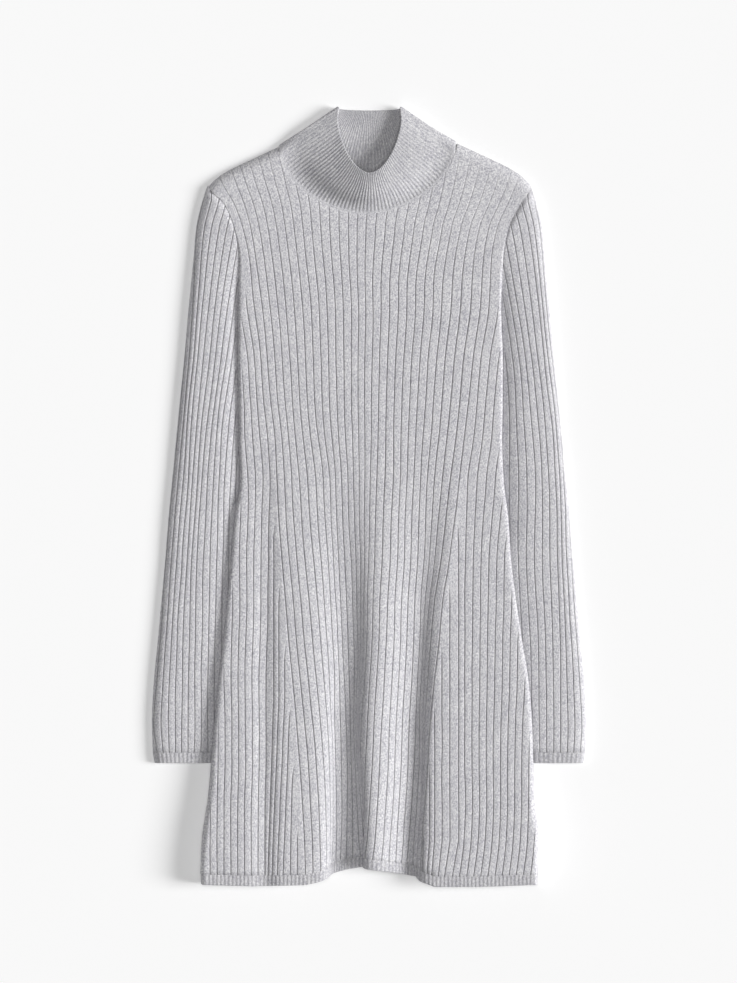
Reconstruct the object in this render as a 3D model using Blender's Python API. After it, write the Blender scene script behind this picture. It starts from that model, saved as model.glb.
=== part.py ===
"""Ribbed knit dress with a stand collar and long sleeves, laid on its back.

Metres, +Z up. X runs across the dress, +Y towards the collar, and Z = 0 is the
surface that it lies on. The tables below are in millimetres. Rib lines are
numbered from the centre front, which is 0, out to the sides.
"""

import math
from bisect import bisect_right
from collections import namedtuple
from functools import cache

import bmesh
import bpy
import numpy as np

MM = 0.001
WELD, SLIVER = 0.02 * MM, 0.01 * MM
SEAM_GAP = 0.3  # left between two pieces where they are sewn
GROOVE_WALL = 1.7  # the knit is thinnest in a groove
RIB_HEIGHT = 1.1  # the flat ribs stand out by this much
WALL = GROOVE_WALL + RIB_HEIGHT
BACK_WALL = 2.2
COLLAR_WALL = 2.6
WELT_RIB_HEIGHT = 0.8

PRINCESS = 13  # the ribs of the skirt are widened outside this rib line
SIDE_RIBS = 15  # rib lines outside the princess line, counted at the hem
ADDED_RIBS = 6  # of these, the ones that start below the waist
ADD_FROM, ADD_STEP = 23.0, 68.0  # the first starts at this level, the next one a step lower
RIB_PITCH = 8.2  # the least distance between two rib lines
NARROWEST = 0.45  # share of the pitch below which a rib is not yet worked
SHOULDER = 0.13  # a rib's flat top starts this share of the pitch from its groove
WELT_DEPTH = 12.0
WELT_PITCH = 4.6

# The body from the shoulder tip to the hem. left and right are the side edges, and above the
# underarm the armhole seam. crown is the height inside the front, drop is how far the edge
# comes down from it to the back, and lift is the height of the edge over the sleeve under it.
# fold is how far the skirt has fallen into its folds.
Level = namedtuple("Level", "y left right princess_left princess_right crown drop lift fold")
LEVELS = (
    Level(400.0, -181.0, 183.0, -167.0, 169.0, 8.5, 0.5, 0, 0),
    Level(355.5, -181.0, 183.0, -151.0, 152.5, 8.5, 0.5, 0, 0),
    Level(329.75, -162.8, 170.5, -141.0, 143.5, 8.5, 0.2, 0, 0),
    Level(304.0, -152.0, 157.6, -134.0, 135.0, 8.5, 0.1, 0, 0),
    Level(272.0, -146.0, 151.4, -128.5, 132.0, 8.5, 0.3, 0, 0),
    Level(213.0, -147.0, 148.6, -120.7, 125.4, 8.5, 1, 0, 0),
    Level(154.0, -147.0, 150.4, -114.8, 116.7, 8.5, 1, 0, 0),
    Level(109.0, -146.4, 150.3, -111.5, 112.4, 8.5, 1, 0, 0),
    Level(64.0, -146.0, 149.6, -106.4, 107.1, 8.5, 1, 0, 0),
    Level(18.5, -145.0, 151.4, -103.8, 101.4, 9.0, 1, 0, 0.12),
    Level(-26.5, -151.0, 156.5, -101.9, 96.0, 11.2, 1, 7.0, 0.3),
    Level(-72.0, -155.0, 159.5, -98.3, 90.4, 12.8, 1, 8.6, 0.52),
    Level(-117.0, -159.0, 165.0, -94.4, 84.0, 13.6, 1, 8.6, 0.76),
    Level(-162.0, -163.5, 171.8, -90.7, 78.5, 14.5, 1, 8.6, 1),
    Level(-207.5, -168.9, 179.0, -86.4, 74.6, 15.8, 1, 8.6, 1),
    Level(-252.5, -173.3, 183.0, -82.2, 72.0, 17.2, 1, 8.6, 1),
    Level(-304.0, -177.6, 184.6, -78.2, 70.5, 18.6, 1, 8.6, 1),
    Level(-343.0, -181.5, 186.0, -75.5, 70.5, 20.0, 1, 0, 1),
    Level(-388.0, -188.0, 190.5, -72.8, 70.8, 21.5, 1, 0, 1),
    Level(-425.0, -189.7, 190.0, -72.0, 71.0, 22.0, 1, 0, 1),
)
SHOULDER_TIP = LEVELS[1]
UNDERARM = 213.0
HEM = LEVELS[-1].y
YOKE = 304.0  # above this level the rib lines end at the neck and the shoulders
YOKE_SHARES, BACK_YOKE_SHARES = (1.0, 0.85, 0.5), (1.0, 0.5)
CUT_LEVELS = tuple(level.y for level in LEVELS if HEM < level.y <= YOKE)

# Section through the front between the princess lines: where each rib line lies across and
# how high its inside is, at three levels. Three folds grow downwards; at the hem the middle
# one leans over the ribs beside it.
MID, LOW = -162.0, -298.0
Fold = namedtuple("Fold", "rib mid_x mid_z low_x low_z hem_x hem_z")
FOLDS = (
    Fold(-13, -90.7, 14.5, -78.4, 18.5, -72.0, 22.0),
    Fold(-11, -73.5, 14.8, -60.0, 18.8, -55.4, 21.2),
    Fold(-10, -64.4, 14.2, -52.2, 16.6, -50.3, 16.0),
    Fold(-9, -55.4, 12.6, -48.8, 12.4, -51.6, 8.8),
    Fold(-8, -48.6, 9.9, -46.4, 8.0, -47.0, 4.0),
    Fold(-7, -41.8, 7.0, -41.8, 4.4, -39.4, 3.0),
    Fold(-5, -30.5, 3.7, -31.5, 3.2, -25.5, 3.0),
    Fold(-3, -16.8, 4.6, -16.5, 3.6, -9.3, 3.0),
    Fold(-2, -11.8, 6.5, -10.5, 4.8, -1.5, 3.0),
    Fold(-1, -8.0, 8.8, -5.6, 7.0, 5.8, 3.3),
    Fold(0, -5.0, 11.3, -3.2, 10.6, 11.2, 7.6),
    Fold(1, -1.8, 13.5, -3.0, 14.4, 5.6, 12.2),
    Fold(2, 3.6, 15.3, 0.0, 17.9, -0.9, 15.0),
    Fold(3, 10.6, 16.0, 6.0, 19.6, -0.2, 20.6),
    Fold(4, 18.8, 15.4, 13.2, 19.4, 5.6, 23.2),
    Fold(5, 27.1, 13.6, 21.0, 17.6, 14.7, 22.0),
    Fold(7, 41.8, 9.4, 36.2, 11.6, 32.5, 15.4),
    Fold(9, 57.0, 7.0, 50.0, 6.2, 46.0, 9.0),
    Fold(11, 66.0, 9.6, 61.8, 5.8, 61.0, 5.0),
    Fold(12, 70.8, 12.2, 66.0, 9.8, 67.4, 9.0),
    Fold(13, 78.5, 14.5, 70.5, 16.0, 71.0, 16.6),
)
SETTLE = 6.0  # beyond the princess line the height settles to the crown over this distance
SOFT_DIP = namedtuple("SoftDip", "x half_width depth")(-118.0, 12.0, 3.5)
EDGE_ROUND, EDGE_ROUND_GROWTH = 12.0, 0.6
EDGE_TURN = 0.8  # power by which the cloth tips over as it nears the side edge

# The lower edge: of the front, by rib line, and of the back, by distance across.
FrontHem = namedtuple("FrontHem", "rib y")
FRONT_HEM = (
    FrontHem(-28, -437.5),
    FrontHem(-20, -439.2),
    FrontHem(-13, -437.9),
    FrontHem(-11.5, -435.3),
    FrontHem(-10, -431.4),
    FrontHem(-7, -424.5),
    FrontHem(-3, -418.5),
    FrontHem(1, -417.5),
    FrontHem(4, -421.0),
    FrontHem(9, -427.0),
    FrontHem(11, -429.5),
    FrontHem(13, -434.0),
    FrontHem(15, -440.0),
    FrontHem(21, -440.0),
    FrontHem(28, -437.9),
)
BackHem = namedtuple("BackHem", "x y")
BACK_HEM = (
    BackHem(-190, -436.0),
    BackHem(-76, -436.0),
    BackHem(-52, -429.5),
    BackHem(-46, -421.5),
    BackHem(-8, -415.5),
    BackHem(2, -418.0),
    BackHem(62, -426.0),
    BackHem(72, -434.5),
    BackHem(84, -437.5),
    BackHem(190, -436.0),
)
# Lines of the back by distance across, close where the neck curves up to the shoulder.
BACK_COLUMNS = (-128, -101, -95, -86, -74, -60, -52, -46, -27, -8)
BACK_COLUMNS += (2, 16, 30, 46, 62, 72, 84, 92, 98, 128)
BACK_EDGE_COLUMNS = (0, 3, 8, 14)  # in from the side
LIFT_FLAT, LIFT_END = 3.0, 14.0  # the back's edge over the sleeve is level, then comes down
WELT_LAST_RIB = 28

# Neck and shoulder seams.
NECK_X, NECK_Y = -2.0, 395.0
NECK_HALF_WIDTH, NECK_DEPTH, BACK_NECK_DEPTH = 100.0, 75.0, 22.0
NECK_POWER = 1.82
ABOVE_NECK = 5.0  # no line of a panel reaches further above the neck point
NECK_CORNER = 0.2  # the last share of the neck edge, where it comes down to the shoulder
SHOULDER_DROP = {1.0: 1.0, 0.85: 0.35}

# Sleeves, the same for both. outer is the distance of the outer edge from the middle.
SleeveLevel = namedtuple("SleeveLevel", "y outer tuck")
SLEEVE = (
    SleeveLevel(355.5, 181.0, 60.0),
    SleeveLevel(329.75, 189.5, 45.0),
    SleeveLevel(304.0, 195.2, 30.0),
    SleeveLevel(272.0, 198.0, 10.0),
    SleeveLevel(213.0, 203.8, -1.2),
    SleeveLevel(154.0, 209.0, -1.2),
    SleeveLevel(109.0, 213.6, -1.2),
    SleeveLevel(64.0, 218.0, -1.2),
    SleeveLevel(18.5, 222.4, -1.2),
    SleeveLevel(-26.5, 226.8, -0.5),
    SleeveLevel(-72.0, 230.3, 4.6),
    SleeveLevel(-117.0, 234.4, 4.6),
    SleeveLevel(-162.0, 238.6, 4.6),
    SleeveLevel(-207.5, 243.0, 4.6),
    SleeveLevel(-252.5, 245.2, 4.6),
    SleeveLevel(-289.0, 244.2, 4.0),
    SleeveLevel(-301.0, 242.0, 3.0),
)
SLEEVE_END, CUFF_END = -289.0, -301.0
SLEEVE_HEIGHT = 11.0
SLEEVE_EDGE_HEIGHT = 2.2
SLEEVE_POWER = 3  # of the curve over its upper face: higher is flatter on top
SLEEVE_FIRST_RIB, SLEEVE_PITCH = 5.0, 7.3
SLEEVE_CAP_SHARES = (1.0, 0.66, 0.33)
SLEEVE_NARROWEST = 2.5
SLEEVE_FLOOR_LINES = (1, 0.5, 0, -0.5, -1)  # from the inner edge to the outer one
CUFF_RIB_HALF = 0.3  # half of a fine rib's flat top, as a share of its pitch
ARMHOLE_GAP = 0.5

# The collar from the neck seam to its free edge: how far up the side folds, how far up the
# centre front, and how much of its height it has reached.
CollarRow = namedtuple("CollarRow", "side front rise fine_ribs")
COLLAR = (
    CollarRow(0, 0, 0, 0),
    CollarRow(0.07, 0.1, 0.03, 0),
    CollarRow(0.24, 0.29, 0.26, 1),
    CollarRow(0.44, 0.46, 0.58, 1),
    CollarRow(0.65, 0.62, 0.85, 1),
    CollarRow(0.84, 0.81, 0.97, 1),
    CollarRow(1, 1, 1, 1),
)
COLLAR_RIBS = 60
COLLAR_RIB_HEIGHT = 0.7
COLLAR_STRIP_DROP = 0.4
COLLAR_BACK_COLUMNS = 20
COLLAR_INNER_STEP = 3
COLLAR_FLAT_FROM = 0.6
COLLAR_FOLD_POWER = 12  # keeps the wall within the outline close to the side folds
SEAM_STEPS = 400
NUDGE = 0.02  # step along a surface that its slope is taken over
RIM_X, RIM_Y, RIM_HALF_WIDTH = 0.5, 438.6, 36.6
RIM_FRONT_Y, RIM_BACK_Y = 365.0, 436.0
COLLAR_FRONT_Z, RIM_FRONT_Z = 8.5, 30.0
COLLAR_SIDE_Z, RIM_SIDE_Z = 5.4, 9.0

KNIT_COLOUR = (0.503, 0.497, 0.527)
KNIT_ROUGHNESS = 0.95
SHARPEST_SMOOTH = math.radians(50)


@cache
def column_values(rows, name):
    return [-row.y for row in rows], [getattr(row, name) for row in rows]


@cache
def column(rows, name, y):
    """The named column of a table at level y, straight between its rows."""
    return float(np.interp(-y, *column_values(rows, name)))


def body(name, y):
    return column(LEVELS, name, y)


def smooth(keys, values, at):
    """A smooth curve through the values, with each slope taken from the two neighbours."""
    i = min(max(bisect_right(keys, at) - 1, 0), len(keys) - 2)
    step = keys[i + 1] - keys[i]
    share = (at - keys[i]) / step
    slopes = []
    for k in (i, i + 1):
        low, high = max(k - 1, 0), min(k + 1, len(keys) - 1)
        slopes.append((values[high] - values[low]) / (keys[high] - keys[low]) * step)
    square, cube = share**2, share**3
    return (
        values[i] * (2 * cube - 3 * square + 1)
        + slopes[0] * (cube - 2 * square + share)
        + values[i + 1] * (3 * square - 2 * cube)
        + slopes[1] * (cube - square)
    )


FOLD_RIBS = [fold.rib for fold in FOLDS]


def fold_point(rib, station):
    """Share across between the princess lines, and height, in one section of the table."""
    xs = [getattr(fold, station + "_x") for fold in FOLDS]
    zs = [getattr(fold, station + "_z") for fold in FOLDS]
    across = (smooth(FOLD_RIBS, xs, rib) - xs[0]) / (xs[-1] - xs[0])
    return np.array([across, smooth(FOLD_RIBS, zs, rib)])


def centre_point(rib, y):
    """Inside of the front between the princess lines: distance across and height."""
    flat = np.array([(rib + PRINCESS) / (2 * PRINCESS), body("crown", y)])
    if y >= MID:
        share = body("fold", y)
        point = flat if share == 0 else flat * (1 - share) + fold_point(rib, "mid") * share
    elif y >= LOW:
        share = (MID - y) / (MID - LOW)
        point = fold_point(rib, "mid") * (1 - share) + fold_point(rib, "low") * share
    else:
        share = min((LOW - y) / (LOW - HEM), 1)
        point = fold_point(rib, "low") * (1 - share) + fold_point(rib, "hem") * share
    left, right = body("princess_left", y), body("princess_right", y)
    return np.array([left + (right - left) * point[0], point[1]])


def normal_of(curve, at):
    """Unit vector out of the cloth in the plane of a section."""
    tangent = curve(at + NUDGE) - curve(at - NUDGE)
    return np.array([-tangent[1], tangent[0]]) / np.hypot(*tangent)


def pitch_at(y):
    return max((body("princess_right", y) - body("princess_left", y)) / (2 * PRINCESS), RIB_PITCH)


def ribs_missing(y):
    """How many of the added rib lines have not yet started at level y."""
    return min(max(ADDED_RIBS - (ADD_FROM - y) / ADD_STEP, 0), ADDED_RIBS)


def side_width(side, y):
    """Width of the front from the princess line to the side edge."""
    names = ("right", "princess_right") if side > 0 else ("left", "princess_left")
    return abs(body(names[0], y) - body(names[1], y))


def groove_reach(number, side, y):
    """Distance of a side groove, numbered from the princess line, out from that line.

    A groove that has not started lies on the princess line, and one that has run off the
    cloth lies on the side edge.
    """
    pitch, width = pitch_at(y), side_width(side, y)
    steps = number - ribs_missing(y)
    if steps < NARROWEST:
        return 0.0
    if number > SIDE_RIBS or steps * pitch > width - NARROWEST * pitch:
        return width
    return steps * pitch


def side_reach(rib, y):
    """Reach of any line between two side grooves, and how wide the rib between them is."""
    side, number = math.copysign(1, rib), abs(rib) - PRINCESS
    near = groove_reach(math.floor(number), side, y) if number >= 1 else 0.0
    far = groove_reach(math.ceil(number), side, y)
    return near + (far - near) * (number - math.floor(number)), far - near


def raised_wall(rib, y, share):
    """Thickness of the cloth at a rib line: thin in a groove, and low on a narrow rib."""
    if share == 0:
        return GROOVE_WALL
    if abs(rib) < PRINCESS:
        return WALL
    width = side_reach(rib, y)[1] / pitch_at(y)
    return GROOVE_WALL + RIB_HEIGHT * min(width / NARROWEST, 1)


def side_point(rib, y, thickness):
    """A point of the front outside the princess line, the given distance out of its inside."""
    side = math.copysign(1, rib)
    princess = body("princess_right" if side > 0 else "princess_left", y)
    width = side_width(side, y)
    reach = side_reach(rib, y)[0]
    x = princess + side * reach
    crown, seam = body("crown", y), body("lift", y) + BACK_WALL + SEAM_GAP
    inner = centre_point(side * PRINCESS, y)[1]
    plateau = crown + (inner - crown) * math.exp(-reach / SETTLE)
    dip = math.exp(-(((x - SOFT_DIP.x) / SOFT_DIP.half_width) ** 2))
    plateau -= SOFT_DIP.depth * body("fold", y) * dip
    radius = EDGE_ROUND + EDGE_ROUND_GROWTH * (crown - LEVELS[0].crown)
    inward = min((width - reach) / radius, 1)
    drop = body("drop", y)
    lowered = (plateau - seam) * drop * (1 - math.sqrt(1 - (1 - inward) ** 2))
    tilt = math.pi / 2 * drop * (1 - inward) ** EDGE_TURN
    out = np.array([side * math.sin(tilt), math.cos(tilt)])
    inset = side * GROOVE_WALL * math.sin(tilt)
    return np.array([x - inset, plateau - lowered]) + out * thickness


def front_section(rib, y, thickness):
    if abs(rib) > PRINCESS:
        return side_point(rib, y, thickness)
    if abs(rib) == PRINCESS:
        return centre_point(rib, y) + np.array([0, thickness])
    return centre_point(rib, y) + normal_of(lambda at: centre_point(at, y), rib) * thickness


def neck_edge(x, depth, room=0.0):
    """Level of the neck seam at x."""
    across = min(abs(x - NECK_X) / (NECK_HALF_WIDTH + room), 1)
    return NECK_Y - (depth + room) * (1 - across**NECK_POWER) ** (1 / NECK_POWER)


def top_edge(x, depth):
    """Level of the upper edge of a panel at x: the neck seam, or the shoulder seam beside it."""
    room = SEAM_GAP
    if abs(x - NECK_X) < NECK_HALF_WIDTH + room:
        return neck_edge(x, depth, room)
    side = math.copysign(1, x - NECK_X)
    neck_point = NECK_X + side * (NECK_HALF_WIDTH + room)
    tip = SHOULDER_TIP.right if side > 0 else SHOULDER_TIP.left
    share = min(abs((x - neck_point) / (tip - neck_point)), 1)
    return NECK_Y + (SHOULDER_TIP.y - NECK_Y) * share


def halve(inside, low, high):
    """The level between low and high at which the condition stops being true."""
    for _ in range(40):
        middle = (low + high) / 2
        low, high = (middle, high) if inside(middle) else (low, middle)
    return low


def yoke_top(across, depth):
    """Level at which a line, given as its distance across by level, meets the upper edge."""
    return halve(lambda y: y < top_edge(across(y), depth), YOKE, NECK_Y + ABOVE_NECK)


def neck_share(x):
    """1 on the shoulder seam, 0 along the neck, with a soft corner between."""
    across = (abs(x - NECK_X) / NECK_HALF_WIDTH - 1 + NECK_CORNER) / NECK_CORNER
    across = min(max(across, 0), 1)
    return across * across * (3 - 2 * across)


def front_levels(rib):
    """Levels of one rib line from the upper edge to the hem, with its drop at the shoulder."""
    top = yoke_top(lambda y: front_section(rib, y, 0)[0], NECK_DEPTH)
    on_shoulder = neck_share(front_section(rib, top, 0)[0])
    levels = []
    for share in YOKE_SHARES:
        drop = SHOULDER_DROP.get(share, 0) * on_shoulder
        levels.append((YOKE + (top - YOKE) * share, drop))
    levels += [(y, 0) for y in CUT_LEVELS]
    return levels


def front_hem(rib):
    ribs, levels = zip(*FRONT_HEM)
    return float(np.interp(rib, ribs, levels))


def front_line(rib, thickness):
    """One rib line of the front, as points from top to bottom; thickness is by level."""
    line = []
    for y, drop in front_levels(rib):
        x, z = front_section(rib, y, thickness(y))
        inner = front_section(rib, y, 0)[1]
        line.append((x, y, z - (inner - BACK_WALL - SEAM_GAP) * drop))
    x, z = front_section(rib, HEM, thickness(HEM))
    line.append((x, front_hem(rib) + WELT_DEPTH + SEAM_GAP / 2, z))
    return line


class Walls:
    """A wall built from grids of points, welded into one closed mesh."""

    def __init__(self):
        self.mesh = bmesh.new()

    def points(self, rows):
        return [[self.mesh.verts.new(np.array(point) * MM) for point in row] for row in rows]

    def skin(self, rows, closed=False):
        """Quads between rows of equal length."""
        for upper, lower in zip(rows, rows[1:]):
            count = len(upper)
            for i in range(count if closed else count - 1):
                j = (i + 1) % count
                self.mesh.faces.new((upper[i], lower[i], lower[j], upper[j]))

    def stitch(self, one, one_keys, other, other_keys):
        """Triangles between two edges with unlike counts, in the order of their keys."""
        i = j = 0
        while i < len(one) - 1 or j < len(other) - 1:
            step_one = j == len(other) - 1 or (
                i < len(one) - 1 and one_keys[i + 1] <= other_keys[j + 1]
            )
            if step_one:
                self.mesh.faces.new((one[i], one[i + 1], other[j]))
                i += 1
            else:
                self.mesh.faces.new((one[i], other[j + 1], other[j]))
                j += 1

    def finish(self, name):
        mesh = self.mesh
        bmesh.ops.remove_doubles(mesh, verts=mesh.verts, dist=WELD)
        bmesh.ops.dissolve_degenerate(mesh, edges=mesh.edges, dist=SLIVER)
        bmesh.ops.triangulate(mesh, faces=mesh.faces)
        bmesh.ops.recalc_face_normals(mesh, faces=mesh.faces)
        data = bpy.data.meshes.new(name)
        mesh.to_mesh(data)
        mesh.free()
        data.shade_smooth()
        data.set_sharp_from_angle(angle=SHARPEST_SMOOTH)
        piece = bpy.data.objects.new(name, data)
        knit = bpy.data.materials.new(name + "_knit")
        knit.use_nodes = True
        shader = knit.node_tree.nodes["Principled BSDF"]
        shader.inputs["Base Color"].default_value = (*KNIT_COLOUR, 1)
        shader.inputs["Roughness"].default_value = KNIT_ROUGHNESS
        shader.inputs["Metallic"].default_value = 0
        data.materials.append(knit)
        bpy.data.collections["SweaterDress"].objects.link(piece)


def transpose(lines):
    return [list(row) for row in zip(*lines)]


def panel(name, outer_lines, outer_keys, inner_lines, inner_keys):
    """A wall between an outer and an inner grid of lines that run from top to bottom."""
    walls = Walls()
    outer = walls.points(transpose(outer_lines))
    inner = walls.points(transpose(inner_lines))
    walls.skin(outer)
    walls.skin(inner)
    for edge in (0, -1):
        walls.stitch(outer[edge], outer_keys, inner[edge], inner_keys)
        walls.skin([[row[edge] for row in outer], [row[edge] for row in inner]])
    walls.finish(name)


def tube(name, outer_rings, outer_keys, inner_rings, inner_keys):
    """A wall between outer and inner closed rings, open at both ends."""
    walls = Walls()
    outer, inner = walls.points(outer_rings), walls.points(inner_rings)
    walls.skin(outer, closed=True)
    walls.skin(inner, closed=True)
    for end in (0, -1):
        around, within = outer[end], inner[end]
        walls.stitch(
            around + around[:1],
            [*outer_keys, outer_keys[0] + 1],
            within + within[:1],
            [*inner_keys, inner_keys[0] + 1],
        )
    walls.finish(name)


def make_front():
    last = PRINCESS + SIDE_RIBS + 1
    outer_lines, outer_keys, inner_lines, inner_keys = [], [], [], []
    for groove in range(-last, last + 1):
        shares = (0,) if groove == last else (0, SHOULDER, 1 - SHOULDER)
        for share in shares:
            rib = groove + share
            outer_keys.append(rib)
            outer_lines.append(front_line(rib, lambda y: raised_wall(rib, y, share)))
        inner_shares = (0, 0.5) if -PRINCESS <= groove < PRINCESS else (0,)
        for share in inner_shares:
            inner_keys.append(groove + share)
            inner_lines.append(front_line(groove + share, lambda y: 0))
    panel("front", outer_lines, outer_keys, inner_lines, inner_keys)


def back_columns():
    """Distance across by level of each line of the back, from left to right."""
    lines = [lambda y, inward=inward: body("left", y) + inward for inward in BACK_EDGE_COLUMNS]
    lines += [lambda y, x=x: x for x in BACK_COLUMNS]
    lines += [
        lambda y, inward=inward: body("right", y) - inward for inward in BACK_EDGE_COLUMNS[::-1]
    ]
    return lines


def back_underside(x, y):
    """Height of the back over the surface: it rises at its edges over the sleeves."""
    inward = min(x - body("left", y), body("right", y) - x)
    share = (LIFT_END - inward) / (LIFT_END - LIFT_FLAT)
    return body("lift", y) * min(max(share, 0), 1)


def back_hem(x):
    xs, ys = zip(*BACK_HEM)
    return float(np.interp(x, xs, ys))


def make_back():
    keys = list(range(len(back_columns())))
    under, over = [], []
    for across in back_columns():
        top = yoke_top(across, BACK_NECK_DEPTH)
        levels = [YOKE + (top - YOKE) * share for share in BACK_YOKE_SHARES]
        levels += CUT_LEVELS
        line = [(across(y), y, back_underside(across(y), y)) for y in levels]
        x = across(HEM)
        line.append((x, back_hem(x) + WELT_DEPTH + SEAM_GAP / 2, 0))
        under.append(line)
        over.append([(x, y, z + BACK_WALL) for x, y, z in line])
    panel("back", over, keys, under, keys)


def make_hem_welt_front():
    """A band of fine ribs that goes on from the front along the same section."""
    count = round((WELT_LAST_RIB * 2) * RIB_PITCH / WELT_PITCH) * 2
    outer, outer_keys, inner, inner_keys = [], [], [], []
    for i in range(count + 1):
        rib = WELT_LAST_RIB * (2 * i / count - 1)
        raised = i % 2 and 0 < i < count
        thickness = GROOVE_WALL + (WELT_RIB_HEIGHT if raised else 0)
        outer.append(welt_line(rib, thickness))
        outer_keys.append(i)
        if i % 2 == 0:
            inner.append(welt_line(rib, 0))
            inner_keys.append(i)
    panel("hem_welt_front", outer, outer_keys, inner, inner_keys)


def welt_line(rib, thickness):
    x, z = front_section(rib, HEM, thickness)
    level = front_hem(rib)
    return [(x, level + WELT_DEPTH - SEAM_GAP / 2, z), (x, level, z)]


def make_hem_welt_back():
    xs = [across(HEM) for across in back_columns()]
    keys = list(range(len(xs)))
    under = []
    for x in xs:
        level = back_hem(x)
        under.append([(x, level + WELT_DEPTH - SEAM_GAP / 2, 0), (x, level, 0)])
    over = [[(x, y, z + BACK_WALL) for x, y, z in line] for line in under]
    panel("hem_welt_back", over, keys, under, keys)


def sleeve_width(side, y):
    edge = abs(body("right" if side > 0 else "left", y))
    return column(SLEEVE, "outer", y) - edge + column(SLEEVE, "tuck", y)


def sleeve_top(side, inward, y, depth):
    """Distance across and height of the sleeve's upper face, depth below its ribs."""
    half = sleeve_width(side, y) / 2
    inward = min(inward, 2 * half)
    across = inward / half - 1
    rise = SLEEVE_HEIGHT - SLEEVE_EDGE_HEIGHT
    fullness = math.sqrt(max(1 - abs(across) ** SLEEVE_POWER, MM**2))
    steepness = math.copysign(abs(across) ** (SLEEVE_POWER - 1), across)
    slope = -SLEEVE_POWER / 2 * rise * steepness / fullness / half
    length = math.hypot(slope, 1)
    inward += slope / length * depth
    z = SLEEVE_EDGE_HEIGHT + rise * fullness - depth / length
    return side * (column(SLEEVE, "outer", y) - inward), z


def sleeve_floor(side, across, y, z, margin):
    """Distance across and height of its lower face; across runs from -1 to 1."""
    half = sleeve_width(side, y) / 2
    inward = half + across * (half - margin)
    return side * (column(SLEEVE, "outer", y) - inward), z


def armhole_level(side, point):
    """Level at which a line of the sleeve meets the armhole seam."""
    name = "right" if side > 0 else "left"
    return halve(
        lambda y: abs(point(y)[0]) > abs(body(name, y)) + ARMHOLE_GAP, UNDERARM, SHOULDER_TIP.y
    )


def sleeve_rings(side, points, levels, cap):
    """Rings down the sleeve through the lines; the cap follows the armhole seam."""
    lines = []
    for point in points:
        top = armhole_level(side, point) if cap else 0
        heights = [UNDERARM + (top - UNDERARM) * share for share in SLEEVE_CAP_SHARES if cap]
        heights += levels
        lines.append([(point(y)[0], y, point(y)[1]) for y in heights])
    return transpose(lines)


def sleeve_tube(name, side, levels, cap, first, pitch, half_groove, depth):
    """A flattened tube, ribbed above. Its ribs run parallel to the outer edge."""

    def top_line(inward, deep):
        def point(y):
            width = sleeve_width(side, y)
            if inward <= width - SLEEVE_NARROWEST:
                return sleeve_top(side, inward, y, deep)
            return sleeve_top(side, width, y, WALL if deep == WALL else 0)

        return point

    widest = max(sleeve_width(side, y) for y in levels)
    grooves = np.arange(first, widest - SLEEVE_NARROWEST, pitch)
    outer, outer_keys, inner, inner_keys = [], [], [], []
    for inward in grooves:
        for offset, deep in ((-half_groove, 0), (0, depth), (half_groove, 0)):
            outer.append(top_line(inward + offset * pitch, deep))
            outer_keys.append(inward + offset * pitch)
        inner.append(top_line(inward, WALL))
        inner_keys.append(inward)
    for lines, keys, deep in ((outer, outer_keys, 0), (inner, inner_keys, WALL)):
        lines.insert(0, top_line(0, deep))
        keys.insert(0, 0)
        lines.append(top_line(2 * widest, deep))
        keys.append(widest)
    for across in SLEEVE_FLOOR_LINES:
        key = widest * (1.5 - 0.4 * across)  # from 1.1 to 1.9 of the width, after the upper face
        outer.append(lambda y, a=across: sleeve_floor(side, a, y, 0, SLEEVE_EDGE_HEIGHT))
        outer_keys.append(key)
        if abs(across) < 1:
            inner.append(lambda y, a=across: sleeve_floor(side, a, y, BACK_WALL, WALL))
            inner_keys.append(key)
    outer_keys = [key / (2 * widest) for key in outer_keys]
    inner_keys = [key / (2 * widest) for key in inner_keys]
    tube(
        name,
        sleeve_rings(side, outer, levels, cap),
        outer_keys,
        sleeve_rings(side, inner, levels, cap),
        inner_keys,
    )


def make_sleeve(name, side):
    levels = [row.y for row in SLEEVE if CUFF_END < row.y <= UNDERARM]
    sleeve_tube(name, side, levels, True, SLEEVE_FIRST_RIB, SLEEVE_PITCH, SHOULDER, RIB_HEIGHT)


def make_cuff(name, side):
    levels = [SLEEVE_END - SEAM_GAP, CUFF_END]
    sleeve_tube(
        name, side, levels, False, WELT_PITCH, WELT_PITCH, CUFF_RIB_HALF, WELT_RIB_HEIGHT
    )


def collar_row(step):
    """Values of the collar's table at a height between its rows."""
    steps = range(len(COLLAR))
    values = [np.interp(step, steps, column) for column in zip(*COLLAR)]
    return CollarRow(*map(float, values))


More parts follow.
